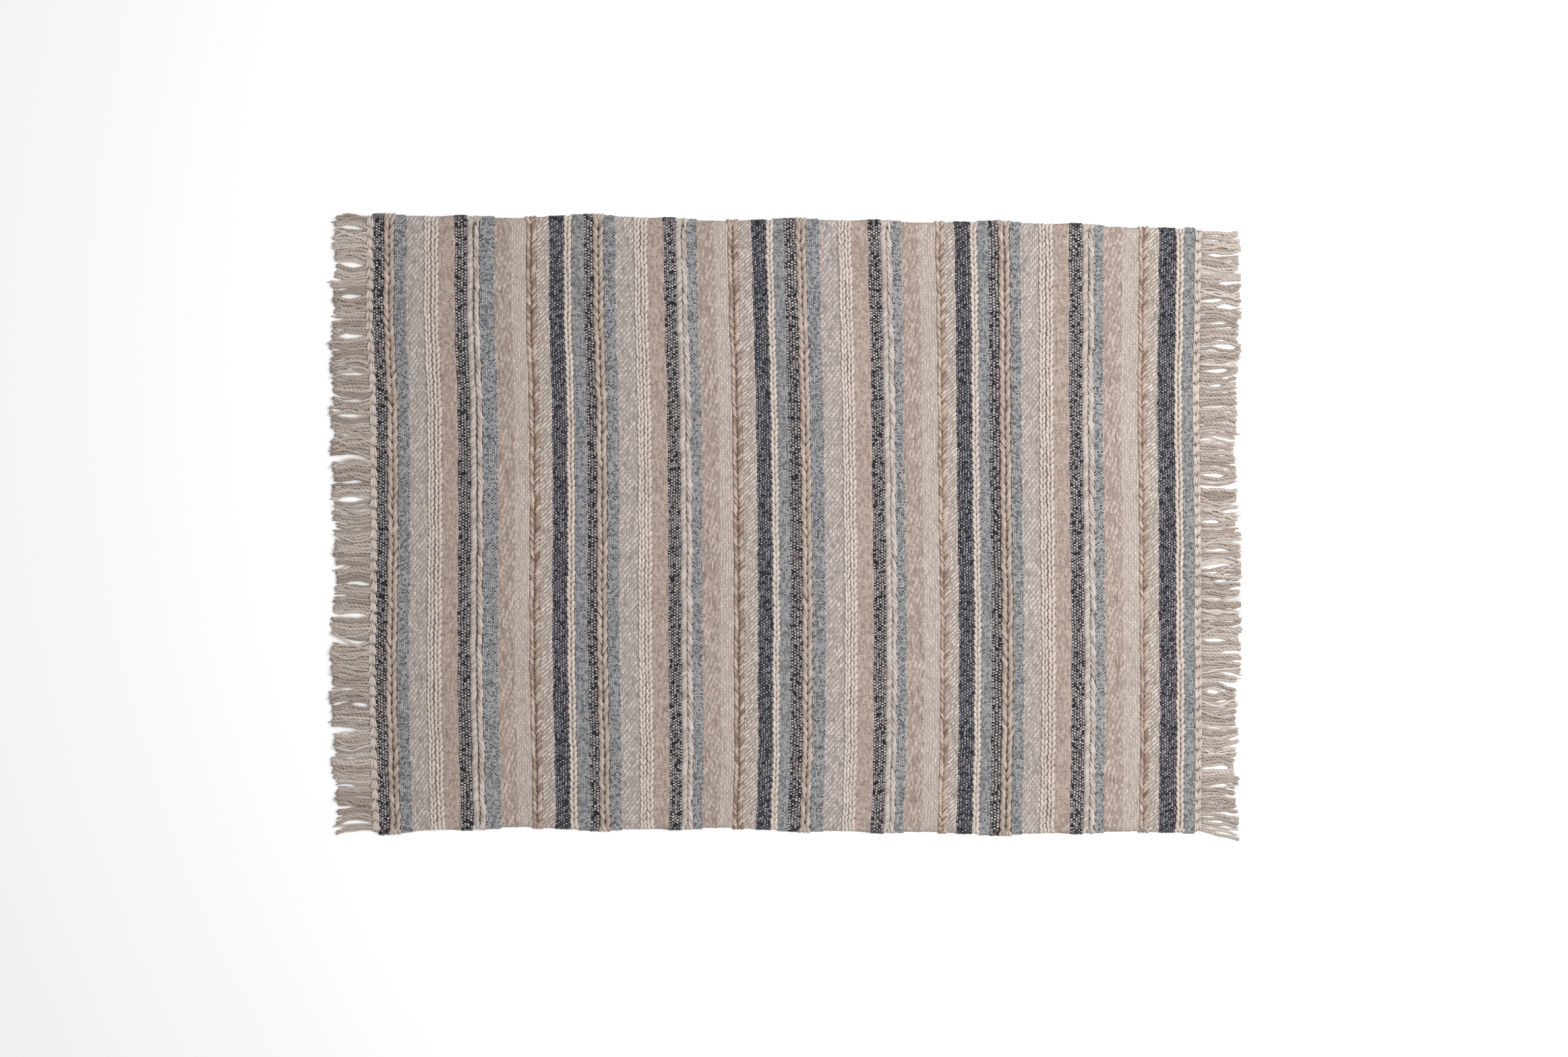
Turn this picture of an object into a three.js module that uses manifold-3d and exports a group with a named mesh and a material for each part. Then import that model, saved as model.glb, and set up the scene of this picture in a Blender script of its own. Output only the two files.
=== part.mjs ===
// Flat-woven striped wool rug, 1.8 m by 1.2 m, with a fringe at both short ends.
// Units are millimetres. +X runs along the rug, +Y across it and +Z up.
// The origin is on the floor under the middle of the rug.

import * as THREE from 'three';
import Module from 'manifold-3d';

// Driving dimensions
const repeats = 4;
const groundHeight = 4.4;
const selvedgeRoll = 5;
const selvedgeDrop = 0.5;
const clothRows = 10;
const edgeGap = 0.3;
const edgeWidth = 12;
const edgeHigh = 7.5;
const edgeLow = 5.2;
const edgeLoops = 59;
const edgeInset = 3;
const tipReach = 890;
const tipRagged = 4;
const tipWander = 5;
const tipLimit = 900;
const strandRoot = 4;
const strandSteps = 4;
const thickStrand = { width: 9.2, height: 6 };
const thinStrand = { width: 6.6, height: 5 };
const strandSpace = 0.4;
const gapReach = 26;
// Brings the middle of the whole outline, the splayed corner strands included, to the origin
const outlineLift = 3;

// Bands of one repeat, left to right: widths in the four repeats, height of the top over the floor,
// the form of the surface, and how far the band's turned wefts stand past the selvedge line
const bands = [
  { name: 'charcoal', widths: [20.5, 17, 22.5, 18.5], high: 5.0, form: 'flat', past: 4 },
  { name: 'brown braid', widths: [22.5, 22.5, 21, 24], high: 9.0, form: 'ropes', past: 3 },
  { name: 'blue', widths: [22.5, 22.5, 25, 20], high: 5.2, form: 'flat', past: 2 },
  { name: 'beige twill', widths: [34.5, 37, 37, 34.5], high: 5.8, form: 'flat', past: -1 },
  { name: 'double cream chain', widths: [29, 26.5, 25, 28], high: 8.6, form: 'chains', past: 0 },
  { name: 'tan plain weave', widths: [32, 33, 33, 32], high: 4.8, form: 'flat', past: -1 },
  { name: 'second charcoal', widths: [23, 24, 24, 25], high: 5.0, form: 'flat', past: 3 },
  { name: 'grey braid', widths: [26, 22.5, 21, 22.5], high: 9.0, form: 'ropes', past: 3 },
  { name: 'second blue', widths: [29, 20, 18.5, 18.5], high: 5.2, form: 'flat', past: 2 },
  { name: 'tan rib', widths: [33, 34.5, 34.5, 36], high: 5.4, form: 'flat', past: -1 },
  { name: 'birdseye', widths: [29, 26.5, 32, 33], high: 5.8, form: 'flat', past: -1 },
  { name: 'herringbone', widths: [21, 21, 16, 17], high: 7.6, form: 'ropes', past: 2 },
  { name: 'fine twill', widths: [24, 26.5, 20, 21], high: 5.4, form: 'flat', past: -1 },
  { name: 'navy twill', widths: [29, 29, 30.5, 33], high: 5.8, form: 'flat', past: 0 },
  { name: 'cream chain', widths: [16, 13.5, 13.5, 17], high: 8.2, form: 'chain', past: 1 },
  { name: 'light blue', widths: [24.5, 21.5, 21.5, 20.5], high: 5.0, form: 'flat', past: 3 },
];

// Cross-sections of a band: place across its width, and share of its height over the ground weave
const forms = {
  flat: [
    { at: 0.06, share: 1 },
    { at: 0.94, share: 1 },
  ],
  ropes: [
    { at: 0.05, share: 0.45 },
    { at: 0.27, share: 1 },
    { at: 0.5, share: 0.5 },
    { at: 0.73, share: 1 },
    { at: 0.95, share: 0.45 },
  ],
  chain: [
    { at: 0.08, share: 0.5 },
    { at: 0.5, share: 1 },
    { at: 0.92, share: 0.5 },
  ],
  chains: [
    { at: 0.04, share: 0.45 },
    { at: 0.25, share: 1 },
    { at: 0.46, share: 0.6 },
    { at: 0.54, share: 0.6 },
    { at: 0.75, share: 1 },
    { at: 0.96, share: 0.45 },
  ],
};

// The selvedge lines: distance of the long edges from the middle line, left to right
const selvedges = [
  { x: -802, top: 607, bottom: -607 },
  { x: -696, top: 605, bottom: -600 },
  { x: -537, top: 604, bottom: -596 },
  { x: -378, top: 608, bottom: -599 },
  { x: -166, top: 600, bottom: -597 },
  { x: 46, top: 601, bottom: -601 },
  { x: 205, top: 598, bottom: -604 },
  { x: 417, top: 596, bottom: -608 },
  { x: 577, top: 591, bottom: -605 },
  { x: 805, top: 583, bottom: -605 },
];

// How far the bands wander along X, at the two ends and where each repeat begins, up the rug
const wander = [
  { y: -585, shifts: [4.5, 5.5, -3.5, -1.5, 0.5] },
  { y: -446, shifts: [0, 4, 1, 1.5, 1.5] },
  { y: -307, shifts: [-3, 1, 1, 2.5, 1.5] },
  { y: -168, shifts: [-1, -0.5, 1.5, 2.5, 0] },
  { y: 0, shifts: [0, 0, 0, 0, 0] },
  { y: 250, shifts: [-1.5, -2, -3.5, -2.5, -3.5] },
  { y: 389, shifts: [-7.5, -6.5, -7.5, -3, -1] },
  { y: 575, shifts: [-7, -8, -12.5, -5.5, 2] },
];

// Where the left fringe parts: place up the rug, width, and the stretch of the strands, root 0 to tip 1
const leftGaps = [
  { at: 580, wide: 9, from: 0.1, to: 0.9 },
  { at: 510, wide: 8, from: 0.15, to: 0.9 },
  { at: 453, wide: 11, from: 0.15, to: 0.9 },
  { at: 385, wide: 6, from: 0.1, to: 1 },
  { at: 369, wide: 10, from: 0.1, to: 0.95 },
  { at: 297, wide: 4, from: 0.2, to: 0.85 },
  { at: 272, wide: 5, from: 0.1, to: 0.8 },
  { at: 249, wide: 8, from: 0.1, to: 0.8 },
  { at: 216, wide: 8, from: 0.3, to: 0.8 },
  { at: 172, wide: 6, from: 0.25, to: 0.85 },
  { at: 126, wide: 15, from: 0, to: 1.7 },
  { at: 85, wide: 6, from: 0.2, to: 0.7 },
  { at: 53, wide: 5, from: 0.2, to: 0.9 },
  { at: -4, wide: 4, from: 0.2, to: 0.7 },
  { at: -80, wide: 8, from: 0.3, to: 1.6 },
  { at: -119, wide: 10, from: 0.05, to: 0.75 },
  { at: -158, wide: 6, from: 0.1, to: 0.8 },
  { at: -176, wide: 7, from: 0.1, to: 0.8 },
  { at: -228, wide: 11, from: 0.2, to: 1.4 },
  { at: -284, wide: 6, from: 0.1, to: 0.85 },
  { at: -326, wide: 6, from: 0.05, to: 0.65 },
  { at: -354, wide: 6, from: 0, to: 0.5 },
  { at: -400, wide: 10, from: 0.35, to: 1.5 },
  { at: -512, wide: 6, from: 0.2, to: 1.2 },
  { at: -562, wide: 8, from: 0.4, to: 1.6 },
  { at: -590, wide: 8, from: 0.05, to: 0.8 },
];

// The same for the right fringe
const rightGaps = [
  { at: 536, wide: 5, from: 0.2, to: 0.7 },
  { at: 479, wide: 8, from: 0.3, to: 1.6 },
  { at: 440, wide: 8, from: 0.05, to: 0.7 },
  { at: 425, wide: 14, from: 0.4, to: 1.5 },
  { at: 394, wide: 5, from: 0.4, to: 1 },
  { at: 352, wide: 7, from: 0.35, to: 0.9 },
  { at: 308, wide: 8, from: 0.1, to: 0.8 },
  { at: 277, wide: 8, from: 0.15, to: 0.75 },
  { at: 230, wide: 8, from: 0.15, to: 0.75 },
  { at: 192, wide: 5, from: 0.15, to: 1.2 },
  { at: 168, wide: 5, from: 0.1, to: 1.1 },
  { at: 97, wide: 5, from: 0.1, to: 0.8 },
  { at: 80, wide: 9, from: 0, to: 1.8 },
  { at: 28, wide: 9, from: 0.15, to: 1.3 },
  { at: 5, wide: 9, from: 0.1, to: 0.75 },
  { at: -36, wide: 6, from: 0.45, to: 1.5 },
  { at: -55, wide: 6, from: 0.15, to: 0.8 },
  { at: -87, wide: 6, from: 0.1, to: 0.8 },
  { at: -113, wide: 7, from: 0.3, to: 0.8 },
  { at: -169, wide: 5, from: 0.25, to: 0.7 },
  { at: -202, wide: 8, from: 0.1, to: 0.8 },
  { at: -226, wide: 9, from: 0.1, to: 0.85 },
  { at: -249, wide: 7, from: 0.2, to: 1.3 },
  { at: -312, wide: 9, from: 0.4, to: 1.6 },
  { at: -329, wide: 7, from: 0.15, to: 0.75 },
  { at: -372, wide: 10, from: 0.7, to: 1.6 },
  { at: -425, wide: 5, from: 0.6, to: 1.6 },
  { at: -479, wide: 9, from: 0.1, to: 1 },
  { at: -518, wide: 5, from: 0.2, to: 0.8 },
  { at: -564, wide: 8, from: 0.6, to: 1.7 },
];

// The two ends of the rug; splay is how far the tips of the lowest strands swing outwards
const ends = [
  { name: 'fringe_left', side: -1, gaps: leftGaps, splay: 12, seed: 11 },
  { name: 'fringe_right', side: 1, gaps: rightGaps, splay: 20, seed: 47 },
];

const colours = {
  cloth: 0xb3a294,
  fringe: 0xc3b5a4,
};

const wasm = await Module();
wasm.setup();

// Plain helpers

function between(a, b, share) {
  return a + (b - a) * share;
}

// A smooth line through evenly or unevenly spaced values, flat beyond its ends
function smoothLine(places, values, place) {
  const last = places.length - 1;
  if (place <= places[0]) return values[0];
  if (place >= places[last]) return values[last];
  let step = 0;
  while (place > places[step + 1]) step += 1;
  const slope = (index) => {
    const low = Math.max(index - 1, 0);
    const high = Math.min(index + 1, last);
    return (values[high] - values[low]) / (places[high] - places[low]);
  };
  const width = places[step + 1] - places[step];
  const t = (place - places[step]) / width;
  const fromLow = values[step] * (1 + 2 * t) * (1 - t) ** 2 + slope(step) * width * t * (1 - t) ** 2;
  const fromHigh = values[step + 1] * (3 - 2 * t) * t ** 2 - slope(step + 1) * width * (1 - t) * t ** 2;
  return fromLow + fromHigh;
}

// A repeatable number from -1 to 1 for each piece and seed
function uneven(index, seed) {
  const wave = Math.sin(index * 12.9898 + seed * 78.233) * 43758.5453;
  return 2 * (wave - Math.floor(wave)) - 1;
}

// Corners and triangles of a closed body, turned so that its faces point out
function facingOut(corners, triangles) {
  const a = new THREE.Vector3();
  const b = new THREE.Vector3();
  const c = new THREE.Vector3();
  let volume = 0;
  for (const [i, j, k] of triangles) {
    a.fromArray(corners[i]);
    b.fromArray(corners[j]);
    c.fromArray(corners[k]);
    volume += a.dot(b.cross(c));
  }
  return volume > 0 ? triangles : triangles.map(([i, j, k]) => [i, k, j]);
}

function geometryOf(corners, triangles) {
  const geometry = new THREE.BufferGeometry();
  geometry.setAttribute('position', new THREE.Float32BufferAttribute(corners.flat(), 3));
  geometry.setIndex(triangles.flat());
  geometry.computeVertexNormals();
  return geometry;
}

// A body swept through rings that all have the same number of corners, closed at both ends
function sweep(rings) {
  const count = rings[0].length;
  const corners = rings.flat();
  const triangles = [];
  for (let ring = 0; ring < rings.length - 1; ring += 1) {
    for (let corner = 0; corner < count; corner += 1) {
      const next = (corner + 1) % count;
      const a = ring * count + corner;
      const b = ring * count + next;
      triangles.push([a, b, b + count], [a, b + count, a + count]);
    }
  }
  const end = (rings.length - 1) * count;
  for (let corner = 1; corner < count - 1; corner += 1) {
    triangles.push([0, corner + 1, corner], [end, end + corner, end + corner + 1]);
  }
  return { corners, triangles: facingOut(corners, triangles) };
}

function solidOf({ corners, triangles }) {
  return new wasm.Manifold(new wasm.Mesh({
    numProp: 3,
    vertProperties: new Float32Array(corners.flat()),
    triVerts: new Uint32Array(triangles.flat()),
  }));
}

// The cloth's chart: where each band starts, and the columns of its surface

function bandStarts() {
  const widths = [];
  for (let repeat = 0; repeat < repeats; repeat += 1) {
    for (const band of bands) widths.push(band.widths[repeat]);
  }
  const total = widths.reduce((sum, width) => sum + width, 0);
  let x = -total / 2;
  const starts = widths.map((width, index) => {
    const start = { x, width, band: bands[index % bands.length] };
    x += width;
    return start;
  });
  return { starts, total };
}

const { starts, total: clothLength } = bandStarts();
const repeatLines = [0, 1, 2, 3].map((repeat) => starts[repeat * bands.length].x).concat(clothLength / 2);

function wanderAt(x, y) {
  const atLines = repeatLines.map((line, index) => smoothLine(
    wander.map((row) => row.y),
    wander.map((row) => row.shifts[index]),
    y,
  ));
  return smoothLine(repeatLines, atLines, x);
}

function selvedgeAt(x, edge) {
  return smoothLine(selvedges.map((row) => row.x), selvedges.map((row) => row[edge]), x);
}

function clothColumns() {
  const columns = [];
  starts.forEach(({ x, width, band }, index) => {
    const profile = forms[band.form];
    profile.forEach(({ at, share }, point) => {
      const first = index === 0 && point === 0;
      const last = index === starts.length - 1 && point === profile.length - 1;
      const place = first ? 0 : last ? 1 : at;
      columns.push({
        x: x + width * place,
        z: between(groundHeight, band.high, share),
        past: band.past,
      });
    });
  });
  return columns;
}

// Rows of the surface, from the bottom selvedge to the top one, as shares of the way up
function clothShares() {
  const roll = selvedgeRoll / (selvedges[0].top - selvedges[0].bottom);
  const inner = Array.from({ length: clothRows - 1 }, (_, row) => (row + 1) / clothRows);
  return [0, roll, ...inner, 1 - roll, 1];
}

// The cloth: one sheet with a flat underside, raised braids and chains, and rolled selvedges
function clothBody() {
  const columns = clothColumns();
  const shares = clothShares();
  const corners = [];
  for (const [row, share] of shares.entries()) {
    const rim = row === 0 || row === shares.length - 1;
    for (const { x, z, past } of columns) {
      const low = selvedgeAt(x, 'bottom') - past;
      const high = selvedgeAt(x, 'top') + past;
      const y = between(low, high, share);
      corners.push([x + wanderAt(x, y), y, rim ? z * selvedgeDrop : z]);
    }
  }
  const across = columns.length;
  const triangles = [];
  for (let row = 0; row < shares.length - 1; row += 1) {
    for (let column = 0; column < across - 1; column += 1) {
      const a = row * across + column;
      triangles.push([a, a + 1, a + across + 1], [a, a + across + 1, a + across]);
    }
  }
  const rim = rimOf(across, shares.length);
  const floorStart = corners.length;
  for (const corner of rim) corners.push([corners[corner][0], corners[corner][1], 0]);
  rim.forEach((corner, index) => {
    const next = (index + 1) % rim.length;
    const below = floorStart + index;
    const nextBelow = floorStart + next;
    triangles.push([corner, below, nextBelow], [corner, nextBelow, rim[next]]);
  });
  const outline = rim.map((corner) => new THREE.Vector2(corners[corner][0], corners[corner][1]));
  for (const [i, j, k] of THREE.ShapeUtils.triangulateShape(outline, [])) {
    triangles.push([floorStart + i, floorStart + k, floorStart + j]);
  }
  return { corners, triangles };
}

// The corners around a grid, counted anticlockwise from its first one
function rimOf(across, up) {
  const rim = [];
  for (let column = 0; column < across - 1; column += 1) rim.push(column);
  for (let row = 0; row < up - 1; row += 1) rim.push(row * across + across - 1);
  for (let column = across - 1; column > 0; column -= 1) rim.push((up - 1) * across + column);
  for (let row = up - 1; row > 0; row -= 1) rim.push(row * across);
  return rim;
}

// The fringe: a twined edge of loops, with the strands rooted in it

// The cloth's end line, which the twined edge follows at edgeGap
function endLineAt(y, side) {
  const x = side * clothLength / 2;
  const shares = clothShares();
  const band = side < 0 ? bands[0] : bands[bands.length - 1];
  const low = selvedgeAt(x, 'bottom') - band.past;
  const high = selvedgeAt(x, 'top') + band.past;
  const rows = shares.map((share) => between(low, high, share));
  let row = 0;
  while (row < rows.length - 2 && y > rows[row + 1]) row += 1;
  const share = (y - rows[row]) / (rows[row + 1] - rows[row]);
  return x + between(wanderAt(x, rows[row]), wanderAt(x, rows[row + 1]), share);
}

function edgeSpan(side) {
  const x = side * clothLength / 2;
  return { low: selvedgeAt(x, 'bottom') + edgeInset, high: selvedgeAt(x, 'top') - edgeInset };
}

function twinedEdge(side) {
  const { low, high } = edgeSpan(side);
  const rings = [];
  for (let step = 0; step <= edgeLoops * 2; step += 1) {
    const y = between(low, high, step / (edgeLoops * 2));
    const inner = endLineAt(y, side) + side * edgeGap;
    const top = step % 2 ? edgeHigh : edgeLow;
    rings.push([
      [inner, y, 0],
      [inner + side * edgeWidth, y, 0],
      [inner + side * edgeWidth * 0.72, y, top],
      [inner + side * edgeWidth * 0.28, y, top],
    ]);
  }
  return sweep(rings);
}

// How far a strand is pushed along Y by the gaps beside it and by the sway of its bundle
function pushed(y, along, end) {
  let push = 0;
  for (const gap of end.gaps) {
    const inside = (along - gap.from) / (gap.to - gap.from);
    const near = 1 - Math.abs(y - gap.at) / gapReach;
    if (inside > 0 && inside < 1 && near > 0) {
      push += Math.sign(y - gap.at) * gap.wide / 2 * Math.sin(Math.PI * inside) * near;
    }
  }
  const sway = 3 * Math.sin(y / 61 + end.seed) * along + 2 * Math.sin(y / 37 + end.seed) * Math.sin(Math.PI * along);
  const corner = Math.exp((edgeSpan(end.side).low - y) / 18);
  return push + sway - end.splay * corner * along ** 2;
}

function strandPlan(end) {
  const { low, high } = edgeSpan(end.side);
  const count = edgeLoops * 2;
  const strands = [];
  for (let index = 0; index < count; index += 1) {
    const jitter = 0.6 * uneven(index, end.seed);
    const y = between(low, high, (index + 0.5) / count) + jitter;
    const wandering = tipWander * Math.sin(y / 95 + end.seed);
    const tip = Math.min(tipReach + wandering + tipRagged * uneven(index, end.seed + 1), tipLimit);
    strands.push({ y, tip, size: index % 2 ? thinStrand : thickStrand });
  }
  return strands;
}

// Places of all the strands at one share of their length, kept apart and in order
function strandLine(strands, along, end) {
  const line = strands.map(({ y }) => y + pushed(y, along, end));
  for (let pass = 0; pass < 60; pass += 1) {
    for (let index = 1; index < line.length; index += 1) {
      const room = (strands[index - 1].size.width + strands[index].size.width) / 2 + strandSpace;
      const short = room - (line[index] - line[index - 1]);
      if (short > 0) {
        line[index - 1] -= short / 2;
        line[index] += short / 2;
      }
    }
  }
  return line;
}

// The strands lie level on the floor, each a ridge with its flat side down
function fringeBody(end) {
  const strands = strandPlan(end);
  const lines = [];
  for (let step = 0; step <= strandSteps; step += 1) {
    lines.push(strandLine(strands, step / strandSteps, end));
  }
  let body = solidOf(twinedEdge(end.side));
  strands.forEach(({ y, tip, size }, index) => {
    const edge = endLineAt(y, end.side) + end.side * (edgeGap + edgeWidth - strandRoot);
    const rings = lines.map((line, step) => {
      const x = between(edge, end.side * tip, step / strandSteps);
      const half = size.width / 2;
      return [[x, line[index] - half, 0], [x, line[index] + half, 0], [x, line[index], size.height]];
    });
    body = body.add(solidOf(sweep(rings)));
  });
  const mesh = body.getMesh();
  const geometry = new THREE.BufferGeometry();
  geometry.setAttribute('position', new THREE.Float32BufferAttribute(mesh.vertProperties, 3));
  geometry.setIndex(Array.from(mesh.triVerts));
  geometry.computeVertexNormals();
  return geometry;
}

function meshOf(name, geometry, colour) {
  const material = new THREE.MeshStandardMaterial({ color: colour, roughness: 0.95, metalness: 0 });
  const mesh = new THREE.Mesh(geometry, material);
  mesh.name = name;
  return mesh;
}

const rug = new THREE.Group();
rug.position.y = outlineLift;
const { corners: clothCorners, triangles: clothTriangles } = clothBody();
rug.add(meshOf('rug_cloth', geometryOf(clothCorners, clothTriangles), colours.cloth));
for (const end of ends) rug.add(meshOf(end.name, fringeBody(end), colours.fringe));

export default rug;
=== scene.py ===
"""Flat-woven striped wool rug, 1.8 m by 1.2 m, with a twisted fringe at both short ends.

The cloth is one thin sheet. Its flat bands are low woven bodies on it, and its braids, chains and
long floats are runs of yarn laid where the weave carries them. The fringe is plied strands that
come out of a row of twined loops. Sizes are in millimetres until a mesh is made.
"""

import math

import bpy
import numpy as np
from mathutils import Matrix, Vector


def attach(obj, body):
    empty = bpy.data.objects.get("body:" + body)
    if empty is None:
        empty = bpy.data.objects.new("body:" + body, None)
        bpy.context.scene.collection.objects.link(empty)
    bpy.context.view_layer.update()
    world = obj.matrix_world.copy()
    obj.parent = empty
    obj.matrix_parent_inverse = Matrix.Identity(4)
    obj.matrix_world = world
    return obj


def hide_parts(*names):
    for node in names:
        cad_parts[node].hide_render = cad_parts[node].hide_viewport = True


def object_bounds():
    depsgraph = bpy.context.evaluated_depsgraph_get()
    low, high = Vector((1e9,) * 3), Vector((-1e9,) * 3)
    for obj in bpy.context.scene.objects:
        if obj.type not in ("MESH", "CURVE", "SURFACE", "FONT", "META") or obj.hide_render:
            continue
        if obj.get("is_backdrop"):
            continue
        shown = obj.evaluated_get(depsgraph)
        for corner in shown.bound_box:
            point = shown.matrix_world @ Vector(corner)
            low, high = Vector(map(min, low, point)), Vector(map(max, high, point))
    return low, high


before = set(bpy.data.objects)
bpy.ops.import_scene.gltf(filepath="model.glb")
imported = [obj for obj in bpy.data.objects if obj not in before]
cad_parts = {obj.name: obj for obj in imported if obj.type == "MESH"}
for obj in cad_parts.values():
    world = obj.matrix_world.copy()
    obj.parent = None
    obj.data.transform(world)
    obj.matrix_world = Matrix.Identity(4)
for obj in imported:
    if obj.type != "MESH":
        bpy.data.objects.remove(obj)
cad_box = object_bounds()


# Tables are written as rows, under the names of their fields


def rows_of(fields, *rows):
    return [dict(zip(fields.split(), row)) for row in rows]


def named(fields, rows):
    return {name: dict(zip(fields.split(), row)) for name, row in rows.items()}


# Driving sizes, as in the part's source
MM = 0.001
OUTLINE_LIFT = 3.0
REPEATS = 4
EDGE_LOOPS = 59
EDGE_GAP = 0.3
EDGE_WIDTH = 12.0
EDGE_INSET = 3.0
TIP_REACH = 890.0
TIP_RAGGED = 5.0
TIP_WANDER = 4.0
TIP_LIMIT = 903.0
GAP_REACH = 26.0

# A thick fringe strand: its plies, and how often one of them comes up along its length
PLIES = 2
PLY_TURNS = 9.0

# The sheet: its warps, rows of points, heights, the ground under the raised stitches as place across
# the band and height, how far it stays back under the turned wefts and the fanned yarns, the room
# that a band's wefts have in the threads map, and the angle from which an edge is sharp
WARPS = 419
SHEET_ROWS = 61
SHEET_BOTTOM = 0.3
SHEET_TOP = 3.4
SHEET_RIM = 0.6 * SHEET_TOP
GROUND = ((0.12, 4.6), (0.5, 3.8), (0.88, 4.6))
BACK_FROM_TURNS = 0.6
BACK_FROM_FANS = 4
MAP_WEFTS = 64
CREASE = math.radians(40)

# The woven bodies on the sheet: the shares of the way up the rug where they end and where they have
# their full height, warps in a row of faces, overlap with the next band, how far they stay back from
# the turned wefts, heights of their feet and ends, drop of their shoulders, unevenness, and the
# folds of their map for baking
BODY_SHARES = (0.0012, 0.004)
WARPS_A_ROW = 4
BODY_LAP = 0.4
BODY_BACK = 1.0
BODY_LOW = SHEET_TOP - 0.4
BODY_END = SHEET_TOP + 0.6
BODY_SHOULDER = 0.35
BODY_BUMPS = 0.22
BODY_SHIFT = 0.4
BODY_FOLDS = 3

# Across one strip of that map: the left wall, the woven face, the right wall and the underside, the
# weft that the walls reach into, and how far the feet stand out at its ends
LEFT_WALL = (0, 0.07)
FACE_FROM = 0.08
FACE_SHARE = 0.74
RIGHT_WALL = (0.83, 0.9)
UNDERSIDE = (0.91, 1)
WALL_WEFT = 0.3
FEET_OUT = 0.009
STRIP_MARGIN = 0.03
FOLD_MARGIN = 0.01

# One repeat of bands, left to right: widths in the four repeats, how far the turned wefts stand past
# the selvedge line, and the top over the floor and the weave, which raised bands lack
BANDS = rows_of(
    "name widths past top weave",
    ("charcoal", (20.5, 17, 22.5, 18.5), 4, 5.0, "charcoal"),
    ("brown braid", (22.5, 22.5, 21, 24), 4, None, None),
    ("blue", (22.5, 22.5, 25, 20), 2.5, 5.2, "blue"),
    ("beige twill", (34.5, 37, 37, 34.5), 0.5, 5.4, "beige twill"),
    ("double cream chain", (29, 26.5, 25, 28), 0, None, None),
    ("tan plain weave", (32, 33, 33, 32), 0.5, 4.9, "tan plain"),
    ("second charcoal", (23, 24, 24, 25), 4, 5.0, "charcoal"),
    ("grey braid", (26, 22.5, 21, 22.5), 2, None, None),
    ("second blue", (29, 20, 18.5, 18.5), 2, 5.2, "deep blue"),
    ("tan rib", (33, 34.5, 34.5, 36), -1, 5.3, "tan rib"),
    ("birdseye", (29, 26.5, 32, 33), -1.5, 5.3, "birdseye"),
    ("herringbone", (21, 21, 16, 17), 1, None, None),
    ("fine twill", (24, 26.5, 20, 21), -0.5, 5.3, "fine twill"),
    ("navy twill", (29, 29, 30.5, 33), 1.2, 5.0, "navy"),
    ("cream chain", (16, 13.5, 13.5, 17), 0, None, None),
    ("light blue", (24.5, 21.5, 21.5, 20.5), 3, 5.0, "light blue"),
)

# How each flat band is woven: width of a weft, warps in one repeat of the weave, warps that a weft
# passes over, and how many warps the next weft is shifted by
WEAVES = named("weft repeat over step", {
    "charcoal": (5.3, 2, 1, 1),
    "blue": (3.5, 2, 1, 1),
    "deep blue": (3.5, 2, 1, 1),
    "light blue": (3.3, 2, 1, 1),
    "beige twill": (4.6, 4, 3, 2),
    "tan plain": (2.9, 2, 1, 1),
    "tan rib": (3.2, 8, 7, 3),
    "birdseye": (5.1, 4, 2, 2),
    "fine twill": (2.9, 3, 2, 1),
    "navy": (5.0, 4, 3, 1),
})

# Raised bands, each with the piece that holds its stitches, its yarn and its rows of stitches. Of a
# row: place across the band, lean to the right in degrees, spacing up the rug and where the first
# one starts, size of one yarn, how much fatter its upper end is, yarns side by side with their
# spacing, how much these are shifted up each other, and height of the middle
STITCHES = "at lean every start long wide high fat yarns apart stack middle"
RAISED = named("band yarn rows", {
    "brown_braids": ("brown braid", "brown yarn", rows_of(
        STITCHES,
        (0.27, -25, 18.5, 0, 22.5, 4.7, 4.3, 0.08, 3, 2.3, 0.72, 5.5),
        (0.73, 25, 18.5, 0, 22.5, 4.7, 4.3, 0.08, 3, 2.3, 0.72, 5.5),
    )),
    "double_chains": ("double cream chain", "cream yarn", rows_of(
        STITCHES,
        (0.13, -13, 12, 0.1, 17, 6.8, 4.3, 0.24, 1, 0, 0, 5.4),
        (0.335, 13, 12, 0.1, 17, 6.8, 4.3, 0.24, 1, 0, 0, 5.4),
        (0.62, -13, 12, 0.6, 17, 6.8, 4.3, 0.24, 1, 0, 0, 5.4),
        (0.855, 17, 12, 0.6, 18, 7.8, 4.6, 0.28, 1, 0, 0, 5.5),
    )),
    "grey_braids": ("grey braid", "grey yarn", rows_of(
        STITCHES,
        (0.26, 46, 4.6, 0.2, 17, 5.8, 4.6, 0, 1, 0, 0, 5.5),
        (0.76, -14, 13, 0.6, 26, 6.6, 4.6, 0, 2, 4.6, 0.45, 5.5),
    )),
    "herringbones": ("herringbone", "herringbone yarn", rows_of(
        STITCHES,
        (0.22, -26, 11.5, 0.2, 17.5, 5.2, 4.2, 0.1, 2, 2.3, 0.8, 5.0),
        (0.73, 36, 11.5, 0.2, 18.5, 5.2, 4.0, 0.1, 2, 3.0, 0.9, 4.9),
    )),
    "cream_chains": ("cream chain", "cream yarn", rows_of(
        STITCHES,
        (0.25, -16, 12, 0.4, 17.5, 7.2, 4.8, 0.28, 1, 0, 0, 5.6),
        (0.68, 16, 12, 0.4, 17.5, 7.8, 4.8, 0.28, 1, 0, 0, 5.6),
    )),
})

# A plump stitch: the lift and arch of its middle line and the rise of its fatter end, as shares of
# its height, how fast it narrows at its ends, and its height over its thickness
STITCH_LIFT = 0.12
STITCH_ARCH = 0.4
STITCH_RISE = 0.9
STITCH_POWER = 3.2
STITCH_FLAT = 0.72

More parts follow.
